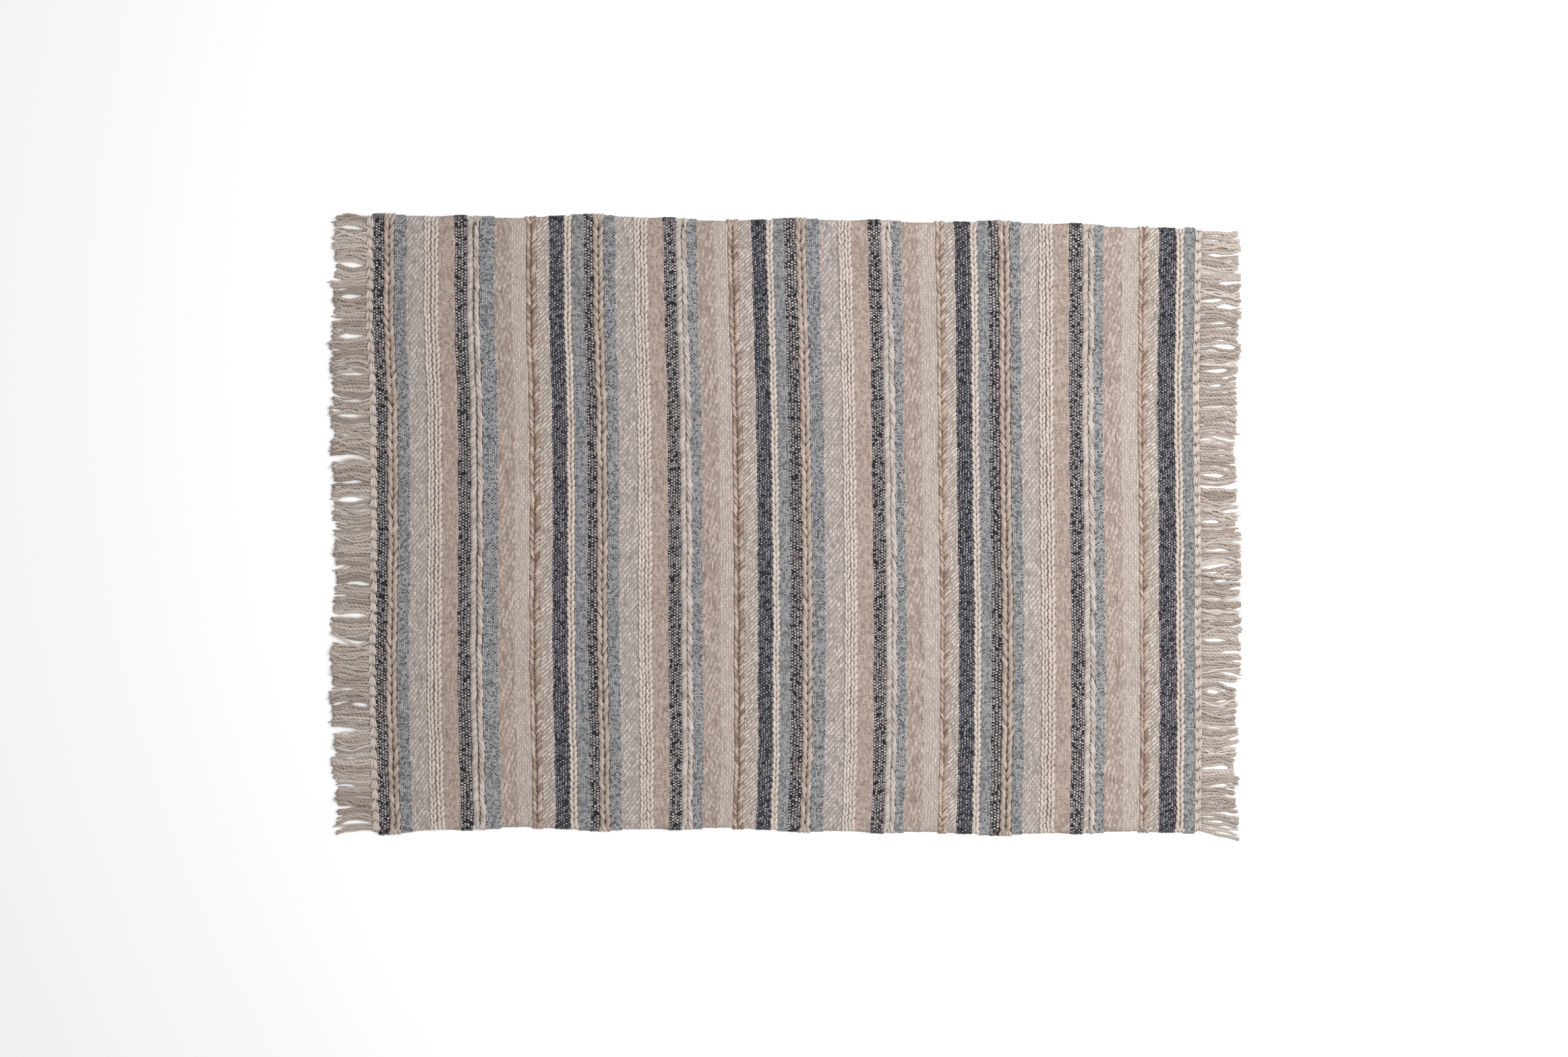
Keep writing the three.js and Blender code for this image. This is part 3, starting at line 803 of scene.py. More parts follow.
def yarn_faces(count, rings, sides):
    """Faces of many closed tubes, and the side and ring of each corner of one tube."""
    faces, quads, corners = [], [], []
    for ring in range(rings - 1):
        for side in range(sides):
            after = (side + 1) % sides
            low, high = ring * sides, (ring + 1) * sides
            quads.append((low + after, low + side, high + side, high + after))
            corners += [(side + 1, ring), (side, ring), (side, ring + 1), (side + 1, ring + 1)]
    last = (rings - 1) * sides
    caps = [tuple(range(sides)), tuple(last + side for side in reversed(range(sides)))]
    corners += [(side, -1) for side in range(sides)]
    corners += [(side, rings) for side in reversed(range(sides))]
    for number in range(count):
        first = number * rings * sides
        faces += [tuple(corner + first for corner in face) for face in quads + caps]
    return faces, np.array(corners, float)


def yarn_maps(count, rings, sides, corners, shape):
    """The yarn map, and a map for baking with a cell for each run; shape is length over girth."""
    cap = (corners[:, 1] < 0) | (corners[:, 1] > rings - 1)
    around = corners[:, 0] / sides
    along = np.clip(corners[:, 1], 0, rings - 1) / (rings - 1)
    bulge = CAP_BULGE * np.sin(np.pi * np.clip(around * sides / (sides - 1), 0, 1))
    cell_v = CELL_MARGIN_V + (1 - 2 * CELL_MARGIN_V) * along
    cell_v = cell_v + np.where(cap, np.sign(along - 0.5) * (CAP_GAP + bulge), 0)
    cell_u = CELL_MARGIN_U + (1 - 2 * CELL_MARGIN_U) * around
    numbers = np.repeat(np.arange(count), len(corners))
    across = math.ceil(math.sqrt(count * shape))
    up = math.ceil(count / across)
    yarn = np.column_stack([numbers + np.tile(np.clip(around, 0.001, 0.999), count), np.tile(along, count)])
    bake_u = (numbers % across + np.tile(cell_u, count)) / across
    bake_v = (numbers // across + np.tile(cell_v, count)) / up
    return {"yarn": yarn, "OFBake": np.column_stack([bake_u, bake_v])}


def frames(paths):
    """Unit vectors across each path, level with the floor, and up from it."""
    along = np.gradient(paths, axis=1)
    along /= np.linalg.norm(along, axis=2, keepdims=True)
    across = np.cross(along, (0, 0, 1))
    across /= np.maximum(np.linalg.norm(across, axis=2, keepdims=True), 1e-6)
    return across, np.cross(across, along)


def yarn_runs(name, paths, halves, sides, names, picks=None, groove=0, roll=0):
    """Closed runs of yarn: paths is runs by rings by 3, halves their half width and half height."""
    count, rings, _ = paths.shape
    across, up = frames(paths)
    around = np.arange(sides) / sides
    angle = (2 * np.pi * around + np.pi / 2)[None, :] + np.broadcast_to(roll, count)[:, None]
    ply = np.abs(np.sin(np.pi * (PLIES * around[None, :] + PLY_TURNS * np.linspace(0, 1, rings)[:, None])))
    bulge = (1 - groove + groove * ply**0.7)[None, :, :, None]
    wide = np.cos(angle)[:, None, :, None] * halves[..., 0, None, None] * bulge
    high = np.sin(angle)[:, None, :, None] * halves[..., 1, None, None] * bulge
    points = paths[:, :, None] + wide * across[:, :, None] + high * up[:, :, None]
    faces, corners = yarn_faces(count, rings, sides)
    length = np.linalg.norm(np.diff(paths[0], axis=0), axis=1).sum()
    girth = np.pi * (halves[0, rings // 2].sum())
    maps = yarn_maps(count, rings, sides, corners, length / girth)
    if picks is not None:
        picks = np.repeat(picks, len(faces) // count)
    return new_piece(name, points.reshape(-1, 3), faces, maps, names, picks)


def joined(runs):
    """Many pairs of paths and half sizes as one pair."""
    paths, halves = zip(*runs)
    return np.concatenate(paths), np.concatenate(halves)


def stitch_paths(centres, heading, size, rings, blunt=0.06):
    """Paths and half sizes of plump stitches; heading is the direction of the upper end."""
    share = np.sin(np.linspace(-np.pi / 2, np.pi / 2, rings))
    along = np.column_stack([np.sin(heading), np.cos(heading)])
    paths = np.empty((len(centres), rings, 3))
    paths[..., :2] = centres[:, None, :2] + along[:, None] * (share * size["long"] / 2)[None, :, None]
    arch = size["high"] * (STITCH_LIFT - STITCH_ARCH * share**2 + STITCH_RISE * size["fat"] * share)
    paths[..., 2] = centres[:, None, 2] + arch
    plump = np.sqrt(np.maximum(1 - np.abs(share) ** STITCH_POWER, blunt)) * (1 + size["fat"] * share)
    halves = np.empty((len(centres), rings, 2))
    halves[..., 0] = size["wide"] / 2 * plump
    halves[..., 1] = size["high"] / 2 * STITCH_FLAT * plump
    return paths, halves


def swollen(stitches, share):
    """Stitches made fatter or thinner by a share of their own."""
    paths, halves = stitches
    return paths, halves * (1 + share)[:, None, None]


def row_points(band, at, shares, past):
    """Points up a band at one place across it, and the direction that the band runs in there."""
    x = np.full(shares.shape, band["x"] + band["width"] * at)
    here_x, here_y = on_floor(x, shares, past)
    next_x, next_y = on_floor(x, shares + 0.002, past)
    return here_x, here_y, np.arctan2(next_x - here_x, next_y - here_y)


# The cloth


def weft_count(band):
    return max(2, round(band["width"] / WEAVES[band["weave"] or "charcoal"]["weft"]))


def first_weft(band):
    """The number that a band's first weft has in the threads map."""
    return band["number"] * MAP_WEFTS


def shown_weave(band):
    """The finish of the sheet under a band: its weave, or under braids or chains a ground painted as the
    shade between their stitches.
    """
    return band["weave"] or ("pale bed" if "chain" in band["name"] else "bed")


def cloth_columns():
    """Columns of the sheet: chart place, height, band on its right, and place across that band."""
    columns = []
    for band in PLACED:
        columns.append((band["x"], SHEET_TOP, band, 0.0))
        if not band["weave"]:
            columns += [(band["x"] + band["width"] * at, height, band, at) for at, height in GROUND]
    last = PLACED[-1]
    columns.append((last["x"] + last["width"], SHEET_TOP, last, 1.0))
    return columns


def cloth_sheet():
    """The whole cloth as one thin closed sheet, striped on its underside as on its face."""
    rows = SHEET_ROWS
    columns = cloth_columns()
    count = len(columns)
    shares = np.linspace(0, 1, rows)
    x = np.array([column[0] for column in columns])
    bands = [column[2] for column in columns]
    back = [BACK_FROM_TURNS if band["weave"] else BACK_FROM_FANS for band in bands]
    past = np.array([band["past"] for band in bands]) - back
    place_x, place_y = on_floor(np.tile(x, (rows, 1)), np.tile(shares[:, None], (1, count)), past)
    height = np.tile([column[1] for column in columns], (rows, 1))
    height[[0, -1]] = SHEET_RIM
    top = np.stack([place_x, place_y, height], axis=2).reshape(-1, 3)
    bottom = np.stack([place_x, place_y, np.full_like(height, SHEET_BOTTOM)], axis=2).reshape(-1, 3)
    under = rows * count
    names = [*WEAVE_LOOKS, *SHADOW_GROUND_LOOKS]
    finishes = [names.index(shown_weave(band)) for band in bands]
    faces, picks, threads = [], [], []

    def thread_at(band, column, row):
        at = columns[column][3] if bands[column] is band else 1.0
        return first_weft(band) + at * weft_count(band), shares[row] * WARPS

    for row in range(rows - 1):
        for column in range(count - 1):
            a = row * count + column
            sides = ((column, row), (column + 1, row), (column + 1, row + 1), (column, row + 1))
            quad = [thread_at(bands[column], *side) for side in sides]
            faces.append((a, a + 1, a + count + 1, a + count))
            faces.append((under + a, under + a + count, under + a + count + 1, under + a + 1))
            picks += [finishes[column]] * 2
            threads += quad + [quad[0], quad[3], quad[2], quad[1]]
    rim = list(range(count - 1)) + [row * count + count - 1 for row in range(rows - 1)]
    rim += [(rows - 1) * count + column for column in range(count - 1, 0, -1)]
    rim += [row * count for row in range(rows - 1, 0, -1)]
    for corner, after in zip(rim, rim[1:] + rim[:1]):
        faces.append((corner, under + corner, under + after, after))
        column = min(corner % count, count - 2)
        picks.append(finishes[column])
        u, v = first_weft(bands[column]) + 0.5, shares[corner // count] * WARPS
        threads += [(u, v), (u, v + 1), (u + 1, v + 1), (u + 1, v)]
    points = np.concatenate([top, bottom])
    return new_piece("cloth_sheet", points, faces, {"threads": threads}, names, picks, CREASE)


def body_points(band, shares):
    """Rings of points round the body of one band: its face from left to right, then its two feet."""
    columns = weft_count(band) + 1
    rows = len(shares)
    x = band["x"] - BODY_LAP + (band["width"] + 2 * BODY_LAP) * np.linspace(0, 1, columns)
    share = np.tile(shares[:, None], (1, columns))
    place_x, place_y = on_floor(np.tile(x, (rows, 1)), share, band["past"] - BODY_BACK)
    number = np.arange(rows * columns).reshape(rows, columns)
    height = band["top"] + BODY_BUMPS * uneven(number, band["number"])
    height[:, [0, -1]] -= BODY_SHOULDER
    height[[0, -1]] = BODY_END
    place_x += BODY_SHIFT * uneven(number, band["number"] + 200)
    face = np.stack([place_x, place_y, height], axis=2)
    feet = face[:, [-1, 0]]
    feet[..., 2] = BODY_LOW
    return np.concatenate([face, feet], axis=1)


def body_sides(wefts):
    """The sides round a body: weft, and place across its strip of the bake map, at both edges."""
    face = [(weft, FACE_FROM + FACE_SHARE * weft / wefts) for weft in range(wefts + 1)]
    right_wall = ((wefts, RIGHT_WALL[0]), (wefts - WALL_WEFT, RIGHT_WALL[1]))
    underside = ((wefts, UNDERSIDE[1]), (0, UNDERSIDE[0]))
    left_wall = ((WALL_WEFT, LEFT_WALL[0]), (0, LEFT_WALL[1]))
    return [*zip(face, face[1:]), right_wall, underside, left_wall]


def body_cap(wefts):
    """The corners round an end of a body: weft and place across, and 1 for the two feet."""
    face = [FACE_FROM + FACE_SHARE * weft / wefts for weft in range(wefts + 1)]
    corners = [(across, 0) for across in face] + [(face[-1], 1), (face[0], 1)]
    return [((across * wefts, across), foot) for across, foot in corners]


def band_bodies(weave):
    """All bands of one weave, each a closed low body, with its threads counted in a map."""
    bands = [band for band in PLACED if band["weave"] == weave]
    end, inner = BODY_SHARES
    shares = np.linspace(end, 1 - end, WARPS // WARPS_A_ROW + 1)
    shares = np.concatenate([shares[:1], [inner], shares[1:-1], [1 - inner], shares[-1:]])
    rows = len(shares)
    rows_a_fold = math.ceil((rows - 1) / BODY_FOLDS)
    strips = BODY_FOLDS * len(bands)
    points, faces, threads, bake = [], [], [], []
    for index, band in enumerate(bands):
        rings = body_points(band, shares)
        sides = body_sides(weft_count(band))
        around = len(sides)
        first = len(points)
        points += rings.reshape(-1, 3).tolist()

        def corner(row, side, place, fold, past=0):
            weft, across = place
            threads.append((first_weft(band) + weft, shares[row] * WARPS + abs(past)))
            strip = index * BODY_FOLDS + fold
            inside = (row - fold * rows_a_fold) / rows_a_fold
            u = strip + STRIP_MARGIN + (1 - 2 * STRIP_MARGIN) * across
            v = FOLD_MARGIN + (1 - 2 * FOLD_MARGIN) * inside + past * FEET_OUT
            bake.append((u / strips, v))
            return first + row * around + side % around

        for row in range(rows - 1):
            fold = row // rows_a_fold
            for side, (start, stop) in enumerate(sides):
                low = [corner(row, side, start, fold), corner(row, side + 1, stop, fold)]
                high = [corner(row + 1, side + 1, stop, fold), corner(row + 1, side, start, fold)]
                faces.append((*low, *high))
        cap = list(enumerate(body_cap(weft_count(band))))
        for row, fold, outwards, order in ((0, 0, -1, reversed(cap)), (rows - 1, BODY_FOLDS - 1, 1, cap)):
            ring = [corner(row, side, place, fold, foot * outwards) for side, (place, foot) in order]
            faces.append(tuple(ring))
    name = weave.replace(" ", "_") + "_bands"
    return new_piece(name, points, faces, {"threads": threads, "OFBake": bake}, [weave], None, CREASE)


def stitch_row(row, band):
    """One row of stitches up a band, for each of the yarns that lie side by side."""
    low = float(selvedge_at(band["x"], "bottom")) - band["past"]
    high = float(selvedge_at(band["x"], "top")) + band["past"]
    count = round((high - low - row["long"] * 0.6) / row["every"])
    seed = band["number"] + 1000 * row["at"]
    off_by = STITCH_UNEVEN
    numbers = np.arange(-1, count + 1)
    step = (numbers + row["start"] * 0.9 + 0.05 + off_by["step"] * uneven(numbers, seed)) / count
    inside = (step * count > -0.8) & (step * count < count + 0.3)
    numbers, step = numbers[inside], step[inside]
    margin = (row["long"] / 2 + 1.5 * row["yarns"] - 1) / (high - low)
    shares = margin + (1 - 2 * margin) * np.clip(step, 0, 1.01)
    x, y, run = row_points(band, row["at"], shares, band["past"])
    x = x + off_by["x"] * uneven(numbers, seed + 1)
    heading = run + np.radians(row["lean"] + off_by["lean"] * uneven(numbers, seed + 2))
    reach = row["long"] / 2 * np.cos(heading) - 1
    for yarn in range(row["yarns"]):
        place = yarn - (row["yarns"] - 1) / 2
        off = place * row["apart"] * (1 + off_by["apart"] * uneven(numbers, seed + 3))
        slip = off_by["slip"] * uneven(numbers, seed + 5 + yarn) - row["stack"] * off / np.tan(heading)
        centre_x = x + off * np.cos(heading) + slip * np.sin(heading)
        centre_y = y - off * np.sin(heading) + slip * np.cos(heading)
        centre_y = np.clip(centre_y, low + reach, high - reach)
        middle = row["middle"] + off_by["z"] * uneven(numbers, seed + 9 + yarn)
        stitches = stitch_paths(np.column_stack([centre_x, centre_y, middle]), heading, row, 5)
        yield swollen(stitches, off_by["size"] * uneven(numbers, seed + 13 + yarn))


def raised_stitches(piece):
    """Braids or chains: rows of stitches up their bands."""
    made = RAISED[piece]
    bands = [band for band in PLACED if band["name"] == made["band"]]
    runs = [run for row in made["rows"] for band in bands for run in stitch_row(row, band)]
    return yarn_runs(piece, *joined(runs), 5, [made["yarn"]])


def weave_spots(weave, over_part):
    """Middles of the weft grains of a weave, or of its warp dots, with the band's run there."""
    chart = WEAVES[weave]
    start = chart["over"] / 2 if over_part else (chart["over"] + chart["repeat"]) / 2
    margin = BODY_SHARES[0]
    spots = []
    for band in [band for band in PLACED if band["weave"] == weave]:
        wefts = weft_count(band)
        for weft in range(wefts):
            grains = np.arange(-1, WARPS // chart["repeat"] + 1)
            v = start + weft * chart["step"] % chart["repeat"] + grains * chart["repeat"]
            v = v[(v > 3) & (v < WARPS - 3)]
            shares = margin + (1 - 2 * margin) * v / WARPS
            x, y, run = row_points(band, (weft + 0.5) / wefts, shares, band["past"] - BODY_BACK)
            spots.append(np.column_stack([x, y, np.full(x.shape, band["top"]), run]))
    return np.concatenate(spots)


def grains(spots, numbers, size):
    """Short plump grains of yarn at spots of a weave, each a little out of place."""
    shaken = [amount * uneven(numbers, seed) for amount, seed in size["shake"]]
    centres = spots[:, :3] + np.column_stack(shaken[:3]) + (0, 0, size["rise"])
    heading = spots[:, 3] + np.radians(size["lean"] + shaken[3])
    paths, halves = swollen(stitch_paths(centres, heading, size, 3, size["blunt"]), shaken[4])
    return yarn_runs(size["piece"], paths, halves, 4, [size["yarn"]], roll=np.pi / 4)


def weft_floats(weave):
    """Grains of weft that stand proud where they float over several warps."""
    size = FLOATS[weave]
    spots = weave_spots(weave, True)
    spots = spots[uneven(np.arange(len(spots)), 4) < 2 * size["kept"] - 1]
    return grains(spots, np.arange(len(spots)), size)


def warp_beads():
    """Cream warps that show as beads between the charcoal wefts, gathered in clumps."""
    spots = weave_spots("charcoal", False)
    numbers = np.arange(len(spots))
    x, y = spots[:, 0], spots[:, 1]
    clump = np.sin(x / 1.8 + 2 * np.sin(y / 6.3)) * np.sin(y / 2.2 + 2 * np.sin(x / 5.9))
    kept = 0.5 * uneven(numbers, 31) + 1.6 * clump < 0.1
    return grains(spots[kept], numbers[kept], BEAD)


def selvedge_turns():
    """Wefts that turn back at the long edges, and yarns fanning out at the ends of raised bands."""
    names = [weave + " turn" for weave in WEAVES] + sorted(set(FAN_YARNS.values()))
    runs, picks = [], []
    for band in PLACED:
        flat = band["weave"] is not None
        count = weft_count(band) if flat else round(band["width"] / FAN_APART)
        at = (np.arange(count) + 0.5) / count
        kind = TURN if flat else FAN
        size = dict(kind, wide=band["width"] / count * kind["spaced"])
        finish = names.index(band["weave"] + " turn" if flat else FAN_YARNS[band["name"]])
        for edge, outwards in ((0, -1), (1, 1)):
            wobble = uneven(np.arange(count), band["number"] * 2 + edge)
            x, y = on_floor(band["x"] + band["width"] * at, float(edge), band["past"])
            angle = np.radians(size["lean"]) * (wobble if flat else (2 * at - 1) * outwards)
            height = size["middle"] + (0 if flat else 0.4) * wobble
            heading = angle + (0 if edge else np.pi)
            y = y - outwards * (size["long"] / 2 * np.cos(angle) - 0.5 * wobble)
            runs.append(stitch_paths(np.column_stack([x, y, height]), heading, size, 5, 0.3))
            picks += [finish] * count
    return yarn_runs("selvedge_turns", *joined(runs), 5, names, picks)


# The fringe


def pushed(y, along, end):
    """How far strands are pushed along Y by the gaps beside them and by the sway of the bundles."""
    push = np.zeros(np.shape(y))
    for place, wide, start, stop in end["gaps"]:
        inside = (along - start) / (stop - start)
        near = np.maximum(1 - np.abs(y - place) / GAP_REACH, 0)
        if 0 < inside < 1:
            push = push + np.sign(y - place) * wide * GAP_SHARE * math.sin(math.pi * inside) * near
    seed = end["seed"]
    sway = SIDE_SWAY[0] * np.sin(y / SIDE_SWAY[1] + seed) * along
    sway = sway + BOW_SWAY[0] * np.sin(y / BOW_SWAY[1] + seed) * math.sin(math.pi * along)
    sway = sway + BEND_SWAY[0] * np.sin(y / BEND_SWAY[1] + 2 * seed) * math.sin(1.5 * math.pi * along)
    corner = np.exp((edge_span(end["side"])[0] - y) / CORNER_FADE)
    return push + sway - end["splay"] * corner * along**2


def tuft_of(numbers, end):
    """The number of the tuft that each strand ends in."""
    return np.floor((numbers + 1.3 * np.sin(numbers / 5.1 + end["seed"])) / TUFT)


def strand_plan(end):
    """Root, tip and kind of every strand of one fringe, bottom to top."""
    low, high = edge_span(end["side"])
    numbers = np.arange(STRANDS)
    thick = uneven(numbers, end["seed"] + 5) < 2 * THICK_SHARE - 1
    over = uneven(numbers, end["seed"] + 3) > np.where(thick, THICK_OVER_FROM, THIN_OVER_FROM)
    over[: round(LEVEL_CORNER / THIN["room"])] = False
    room = np.where(thick, THICK["room"], THIN["room"])
    taken = np.where(over, OVER_ROOM, room)
    places = np.cumsum(taken) - taken / 2
    y = low + (high - low) * places / taken.sum() + 0.4 * uneven(numbers, end["seed"])
    tip = TIP_REACH + TIP_WANDER * np.sin(y / 95 + end["seed"])
    tip = tip + TIP_RAGGED * uneven(tuft_of(numbers, end), end["seed"] + 9)
    tip = tip + 0.45 * TIP_RAGGED * uneven(numbers, end["seed"] + 1)
    stray = uneven(numbers, end["seed"] + 2) > STRAY_FROM
    tip = np.minimum(np.where(stray & ~thick, tip + STRAY_REACH, tip), TIP_LIMIT)
    return {"y": y, "tip": tip, "thick": thick, "room": room, "over": over}


def drawn(y, numbers, end):
    """How far the tip of a strand is drawn towards the middle of the tuft that it ends in."""
    tuft = tuft_of(numbers, end)
    middle = np.array([y[tuft == one].mean() for one in tuft])
    return (middle - y) * TUFT_DRAW


def kept_apart(places, need):
    """Places moved, two neighbours at a time, until each has the room that it needs."""
    for _ in range(PASSES):
        for start in (0, 1):
            short = np.maximum(need[start::2] - np.diff(places)[start::2], 0)
            places[start:-1:2][: len(short)] -= short / 2
            places[start + 1 :: 2][: len(short)] += short / 2
    return places


def strand_lines(plan, end):
    """Y of every strand at each station from root to tip; those that lie level are kept apart."""
    level = np.flatnonzero(~plan["over"])
    room = plan["room"][level]
    numbers = np.arange(STRANDS)
    swing = SWING * uneven(numbers, end["seed"] + 4)
    bow = BOW * uneven(numbers, end["seed"] + 6)
    lines = []
    for along in np.arange(STATIONS) / (STATIONS - 1):
        need = (room[1:] + room[:-1]) / 2 * (1 - 0.2 * along)
        line = plan["y"] + pushed(plan["y"], along, end) + drawn(plan["y"], numbers, end) * along**1.5
        line[level] = kept_apart(line[level], need)
        crossing = line + swing * eased(along, 0.1, 0.9) + bow * math.sin(math.pi * along)
        lines.append(np.where(plan["over"], crossing, line))
    return np.array(lines)


def strand_centres(plan, lines, end, chosen, kind):
    """Middle lines of chosen strands: X, Y and how high they lie, and the share of the way along."""
    share = np.linspace(0, 1, kind["rings"])
    stations = np.linspace(0, 1, STATIONS)
    y = np.stack([smooth_line(stations, lines[:, strand], share) for strand in chosen])
    root = end_line_at(plan["y"][chosen], end["side"]) + end["side"] * (EDGE_GAP + EDGE_WIDTH - 5)
    tip = end["side"] * plan["tip"][chosen]
    x = root[:, None] + (tip - root)[:, None] * share
    phase = chosen[:, None] * 2.4
    y = y + 1.3 * np.sin(share * 9 + phase) * share**0.7 + 0.6 * np.sin(share * 21 + phase * 1.7) * share
    loose = kind["loose"] * (1 + uneven(chosen, kind["lift seed"]))
    lift = np.where(plan["over"][chosen], kind["over"], loose)[:, None] * eased(share, 0.0, 0.16)
    return x, y, lift, share


def strand_sizes(kind, chosen):
    return kind["half"] * (1 + kind["uneven"] * uneven(chosen, kind["seed"]))[:, None]


def fringe_strands(label):
    """One fringe: thick strands of two plies, thin smooth ones, and a few lying over the others."""
    end = ENDS[label]
    plan = strand_plan(end)
    lines = strand_lines(plan, end)

    thick = np.flatnonzero(plan["thick"])
    x, y, lift, share = strand_centres(plan, lines, end, thick, THICK)
    root = 0.6 + 0.4 * eased(share, 0.0, 0.12)
    flare = (1 + 0.16 * eased(share, 0.86, 0.95)) * (1 - 0.45 * eased(share, 0.96, 1.0))
    size = strand_sizes(THICK, thick) * root * flare
    flat = 0.95 - 0.25 * eased(share, 0.84, 0.96)
    paths = np.stack([x, y, size * flat + lift], axis=2)
    halves = np.stack([size, size * flat], axis=2)
    roll = np.pi * uneven(thick, 65)
    name = label + "_plied_strands"
    plied = yarn_runs(name, paths, halves, THICK["sides"], ["strand yarn"], None, GROOVE, roll)
    frayed = frayed_tips(label, paths)

    thin = np.flatnonzero(~plan["thick"])
    x, y, lift, share = strand_centres(plan, lines, end, thin, THIN)
    size = strand_sizes(THIN, thin) * (1 - 0.55 * eased(share, 0.94, 1.0))
    paths = np.stack([x, y, THIN["half"] * 0.95 + lift], axis=2)
    halves = np.stack([size, size * 0.88], axis=2)
    singles = yarn_runs(label + "_smooth_strands", paths, halves, THIN["sides"], ["smooth strand yarn"])
    return [plied, singles, frayed]


def frayed_tips(label, paths):
    """Loose fibres that make the tips of the thick strands ragged."""
    tips = np.repeat(paths[:, -2], FIBRES, axis=0)
    back = np.repeat(paths[:, -4], FIBRES, axis=0)
    numbers = np.arange(len(tips))
    onwards = tips - back
    onwards /= np.linalg.norm(onwards, axis=1, keepdims=True)
    sideways = np.column_stack([-onwards[:, 1], onwards[:, 0], np.zeros(len(tips))])
    place = (numbers % FIBRES - (FIBRES - 1) / 2) / FIBRES * 2 + 0.2 * uneven(numbers, 72)
    start = tips - 6 * onwards + 2.7 * place[:, None] * sideways
    reach = (8.6 + 1.4 * uneven(numbers, 73))[:, None]
    share = np.linspace(0, 1, 4)[None, :, None]
    lines = start[:, None] + share * (onwards * reach)[:, None]
    lines = lines + share**2 * (sideways * (1.4 * place + 0.8 * uneven(numbers, 71))[:, None])[:, None]
    lines[..., 2] = np.maximum(lines[..., 2] - 1.2 * share[..., 0] + 0.9 * uneven(numbers, 74)[:, None], 1.2)
    lines[..., 0] = np.clip(lines[..., 0], -TIP_LIMIT - 3, TIP_LIMIT + 3)
    halves = np.broadcast_to(1.5 - 0.7 * share, (len(tips), share.size, 2))
    return yarn_runs(label + "_frayed_tips", lines, halves, 3, ["smooth strand yarn"])


def twined_edge(label):
    """The row of upright loops that holds one fringe, on its dark ground."""
    end = ENDS[label]
    seed = end["seed"]
    low, high = edge_span(end["side"])
    pitch = (high - low) / EDGE_LOOPS
    size = dict(LOOP, long=pitch * 1.04)
    off_by = LOOP_UNEVEN
    numbers = np.arange(EDGE_LOOPS)
    runs = []
    for column, (reach, shift, lean) in enumerate(LOOP_COLUMNS):
        y = low + (numbers + 0.5 + shift + off_by["place"] * uneven(numbers, seed + column)) * pitch
        x = end_line_at(y, end["side"]) + end["side"] * (EDGE_GAP + reach)
        x = x + off_by["x"] * uneven(numbers, seed + 7)
        for yarn in range(LOOP_YARNS):
            off = (yarn - (LOOP_YARNS - 1) / 2) * LOOP_APART
            slip = off_by["slip"] * uneven(numbers, seed + 20 + yarn + 2 * column)
            lean_by = off_by["lean"] * uneven(numbers, seed + 8 + column + 3 * yarn)
            heading = np.radians(lean + lean_by - 2 * off)
            middle = LOOP_MIDDLE + off_by["z"] * uneven(numbers, seed + 30 + yarn)
            stitches = stitch_paths(np.column_stack([x + off, y + slip, middle]), heading, size, 6, 0.12)
            runs.append(swollen(stitches, off_by["size"] * uneven(numbers, seed + 12 + column + 5 * yarn)))
    loops = yarn_runs(label + "_edge_loops", *joined(runs), 6, ["edge yarn"])
    y = np.linspace(low, high, EDGE_LOOPS + 1)
    x = end_line_at(y, end["side"]) + end["side"] * (EDGE_WIDTH / 2 - 1.4)
    path = np.stack([x, y, np.full(y.shape, GROUND_MIDDLE)], axis=1)[None]
    half = np.tile([EDGE_WIDTH / 2, GROUND_HALF], (1, len(y), 1))
    ground = yarn_runs(label + "_edge_ground", path, half, 6, ["edge ground"])
    return [loops, ground]


# The floor, the light and the camera, in metres, watts and degrees

ROOM = 14
SKY_STRENGTH = 0.6
LAMP_SIZE = 2.2
LAMP_POWER = 113
LAMP_PLACE = (1.9, 0.5, 2.9)
LAMP_TURN = (-9.8, 33, 0)


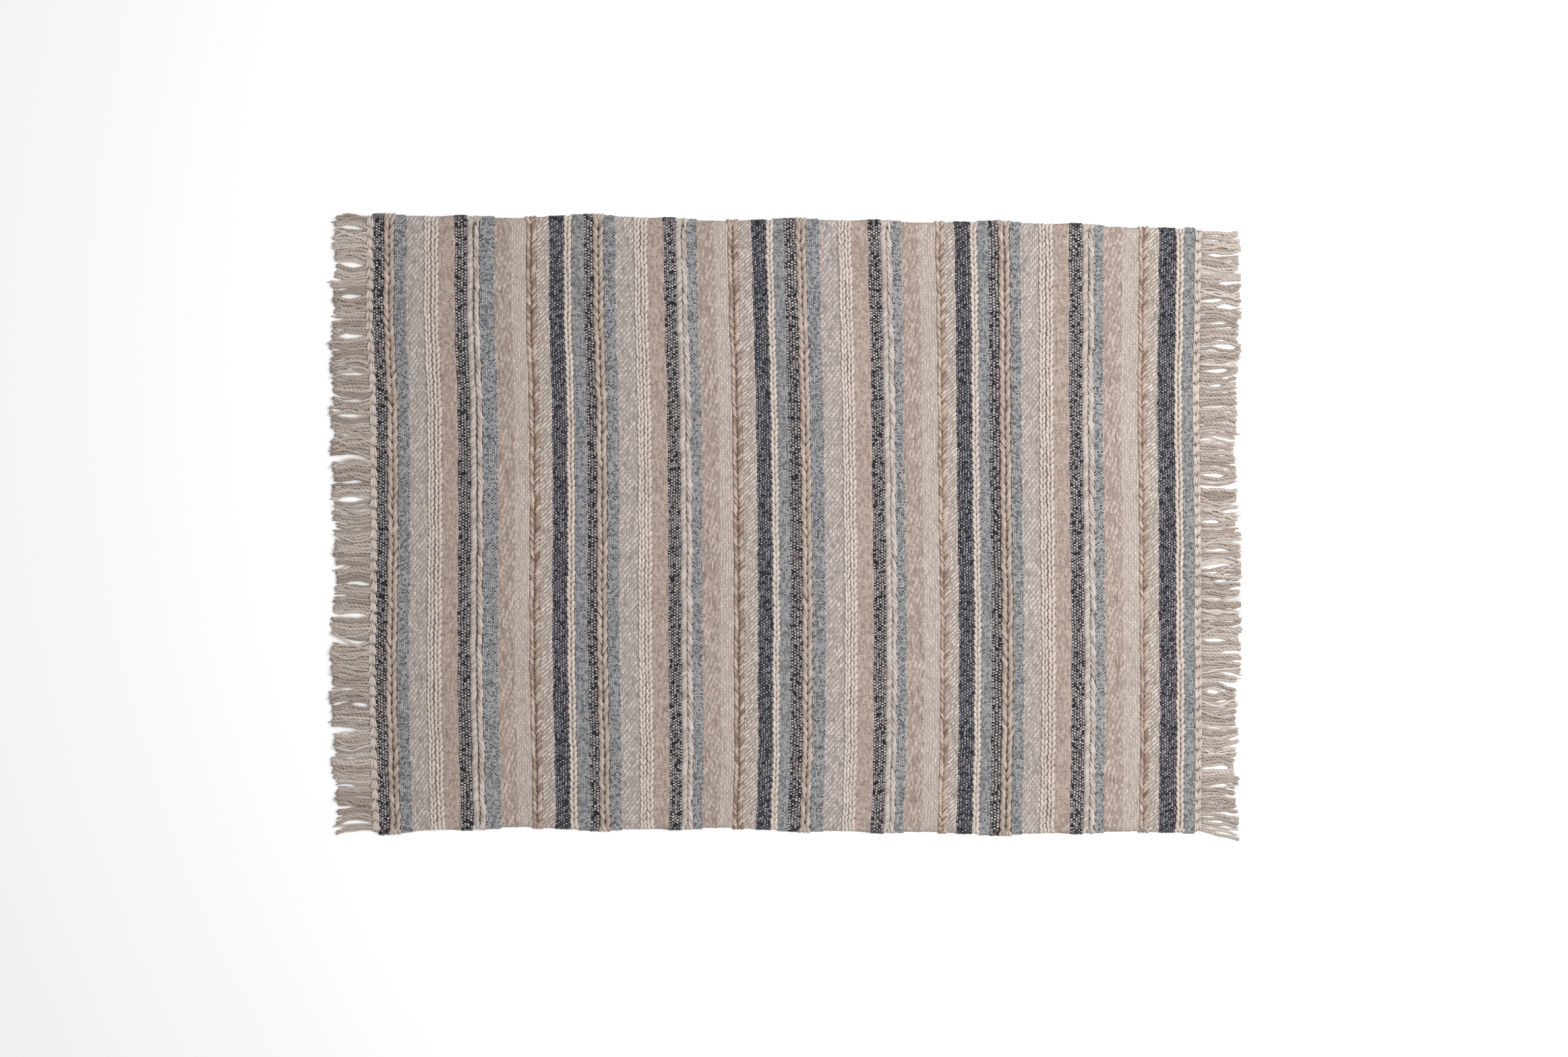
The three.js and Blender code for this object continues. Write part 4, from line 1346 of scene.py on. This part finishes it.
def stage():
    bpy.ops.object.select_all(action="DESELECT")
    bpy.ops.mesh.primitive_plane_add(size=ROOM, location=(0, 0, 0))
    floor = bpy.context.object
    floor.name = "floor"
    paint = bpy.data.materials.new("pale floor")
    paint.use_nodes = True
    shader = paint.node_tree.nodes["Principled BSDF"]
    shader.inputs["Base Color"].default_value = (0.98, 0.98, 0.98, 1)
    shader.inputs["Roughness"].default_value = 0.9
    shader.inputs["Specular IOR Level"].default_value = 0.1
    floor.data.materials.append(paint)
    floor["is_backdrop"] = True


def light():
    """An even white sky, and a soft lamp a little to the right."""
    world = bpy.data.worlds.new("studio")
    world.use_nodes = True
    sky = world.node_tree.nodes["Background"]
    sky.inputs["Color"].default_value = (1, 1, 1, 1)
    sky.inputs["Strength"].default_value = SKY_STRENGTH
    bpy.context.scene.world = world
    lamp = bpy.data.lights.new("softbox", "AREA")
    lamp.shape = "SQUARE"
    lamp.size = LAMP_SIZE
    lamp.energy = LAMP_POWER
    softbox = bpy.data.objects.new("softbox", lamp)
    softbox.location = LAMP_PLACE
    softbox.rotation_euler = [math.radians(turn) for turn in LAMP_TURN]
    softbox.visible_camera = False
    bpy.context.scene.collection.objects.link(softbox)


def camera():
    """Straight down on the rug, framed as the photograph is."""
    photo_width = 2326
    millimetres_a_pixel = 1.326
    photo_middle = (-3.0, -4.3)
    rug_top = 5
    lens = bpy.data.cameras.new("overhead")
    lens.lens = 50
    lens.sensor_width = 36
    view = bpy.data.objects.new("overhead", lens)
    distance = photo_width * millimetres_a_pixel * lens.lens / lens.sensor_width
    view.location = (photo_middle[0] * MM, photo_middle[1] * MM, (distance + rug_top) * MM)
    bpy.context.scene.collection.objects.link(view)
    bpy.context.scene.camera = view


camera()
light()
stage()
bpy.context.scene.view_settings.view_transform = "Standard"

sheet = cloth_sheet()
cloth = [band_bodies(weave) for weave in WEAVES]
cloth += [raised_stitches(piece) for piece in RAISED]
cloth += [weft_floats(weave) for weave in FLOATS]
cloth += [warp_beads(), selvedge_turns()]
for piece in [sheet, *cloth]:
    stands_for(piece, "rug_cloth")

fringes = []
for label in ENDS:
    for piece in fringe_strands(label) + twined_edge(label):
        fringes.append(stands_for(piece, "fringe_" + label))

cloth + fringes

boxes = {"cad": cad_box, "visual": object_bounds()}
lists = {name: [[float(part) for part in corner] for corner in box] for name, box in boxes.items()}
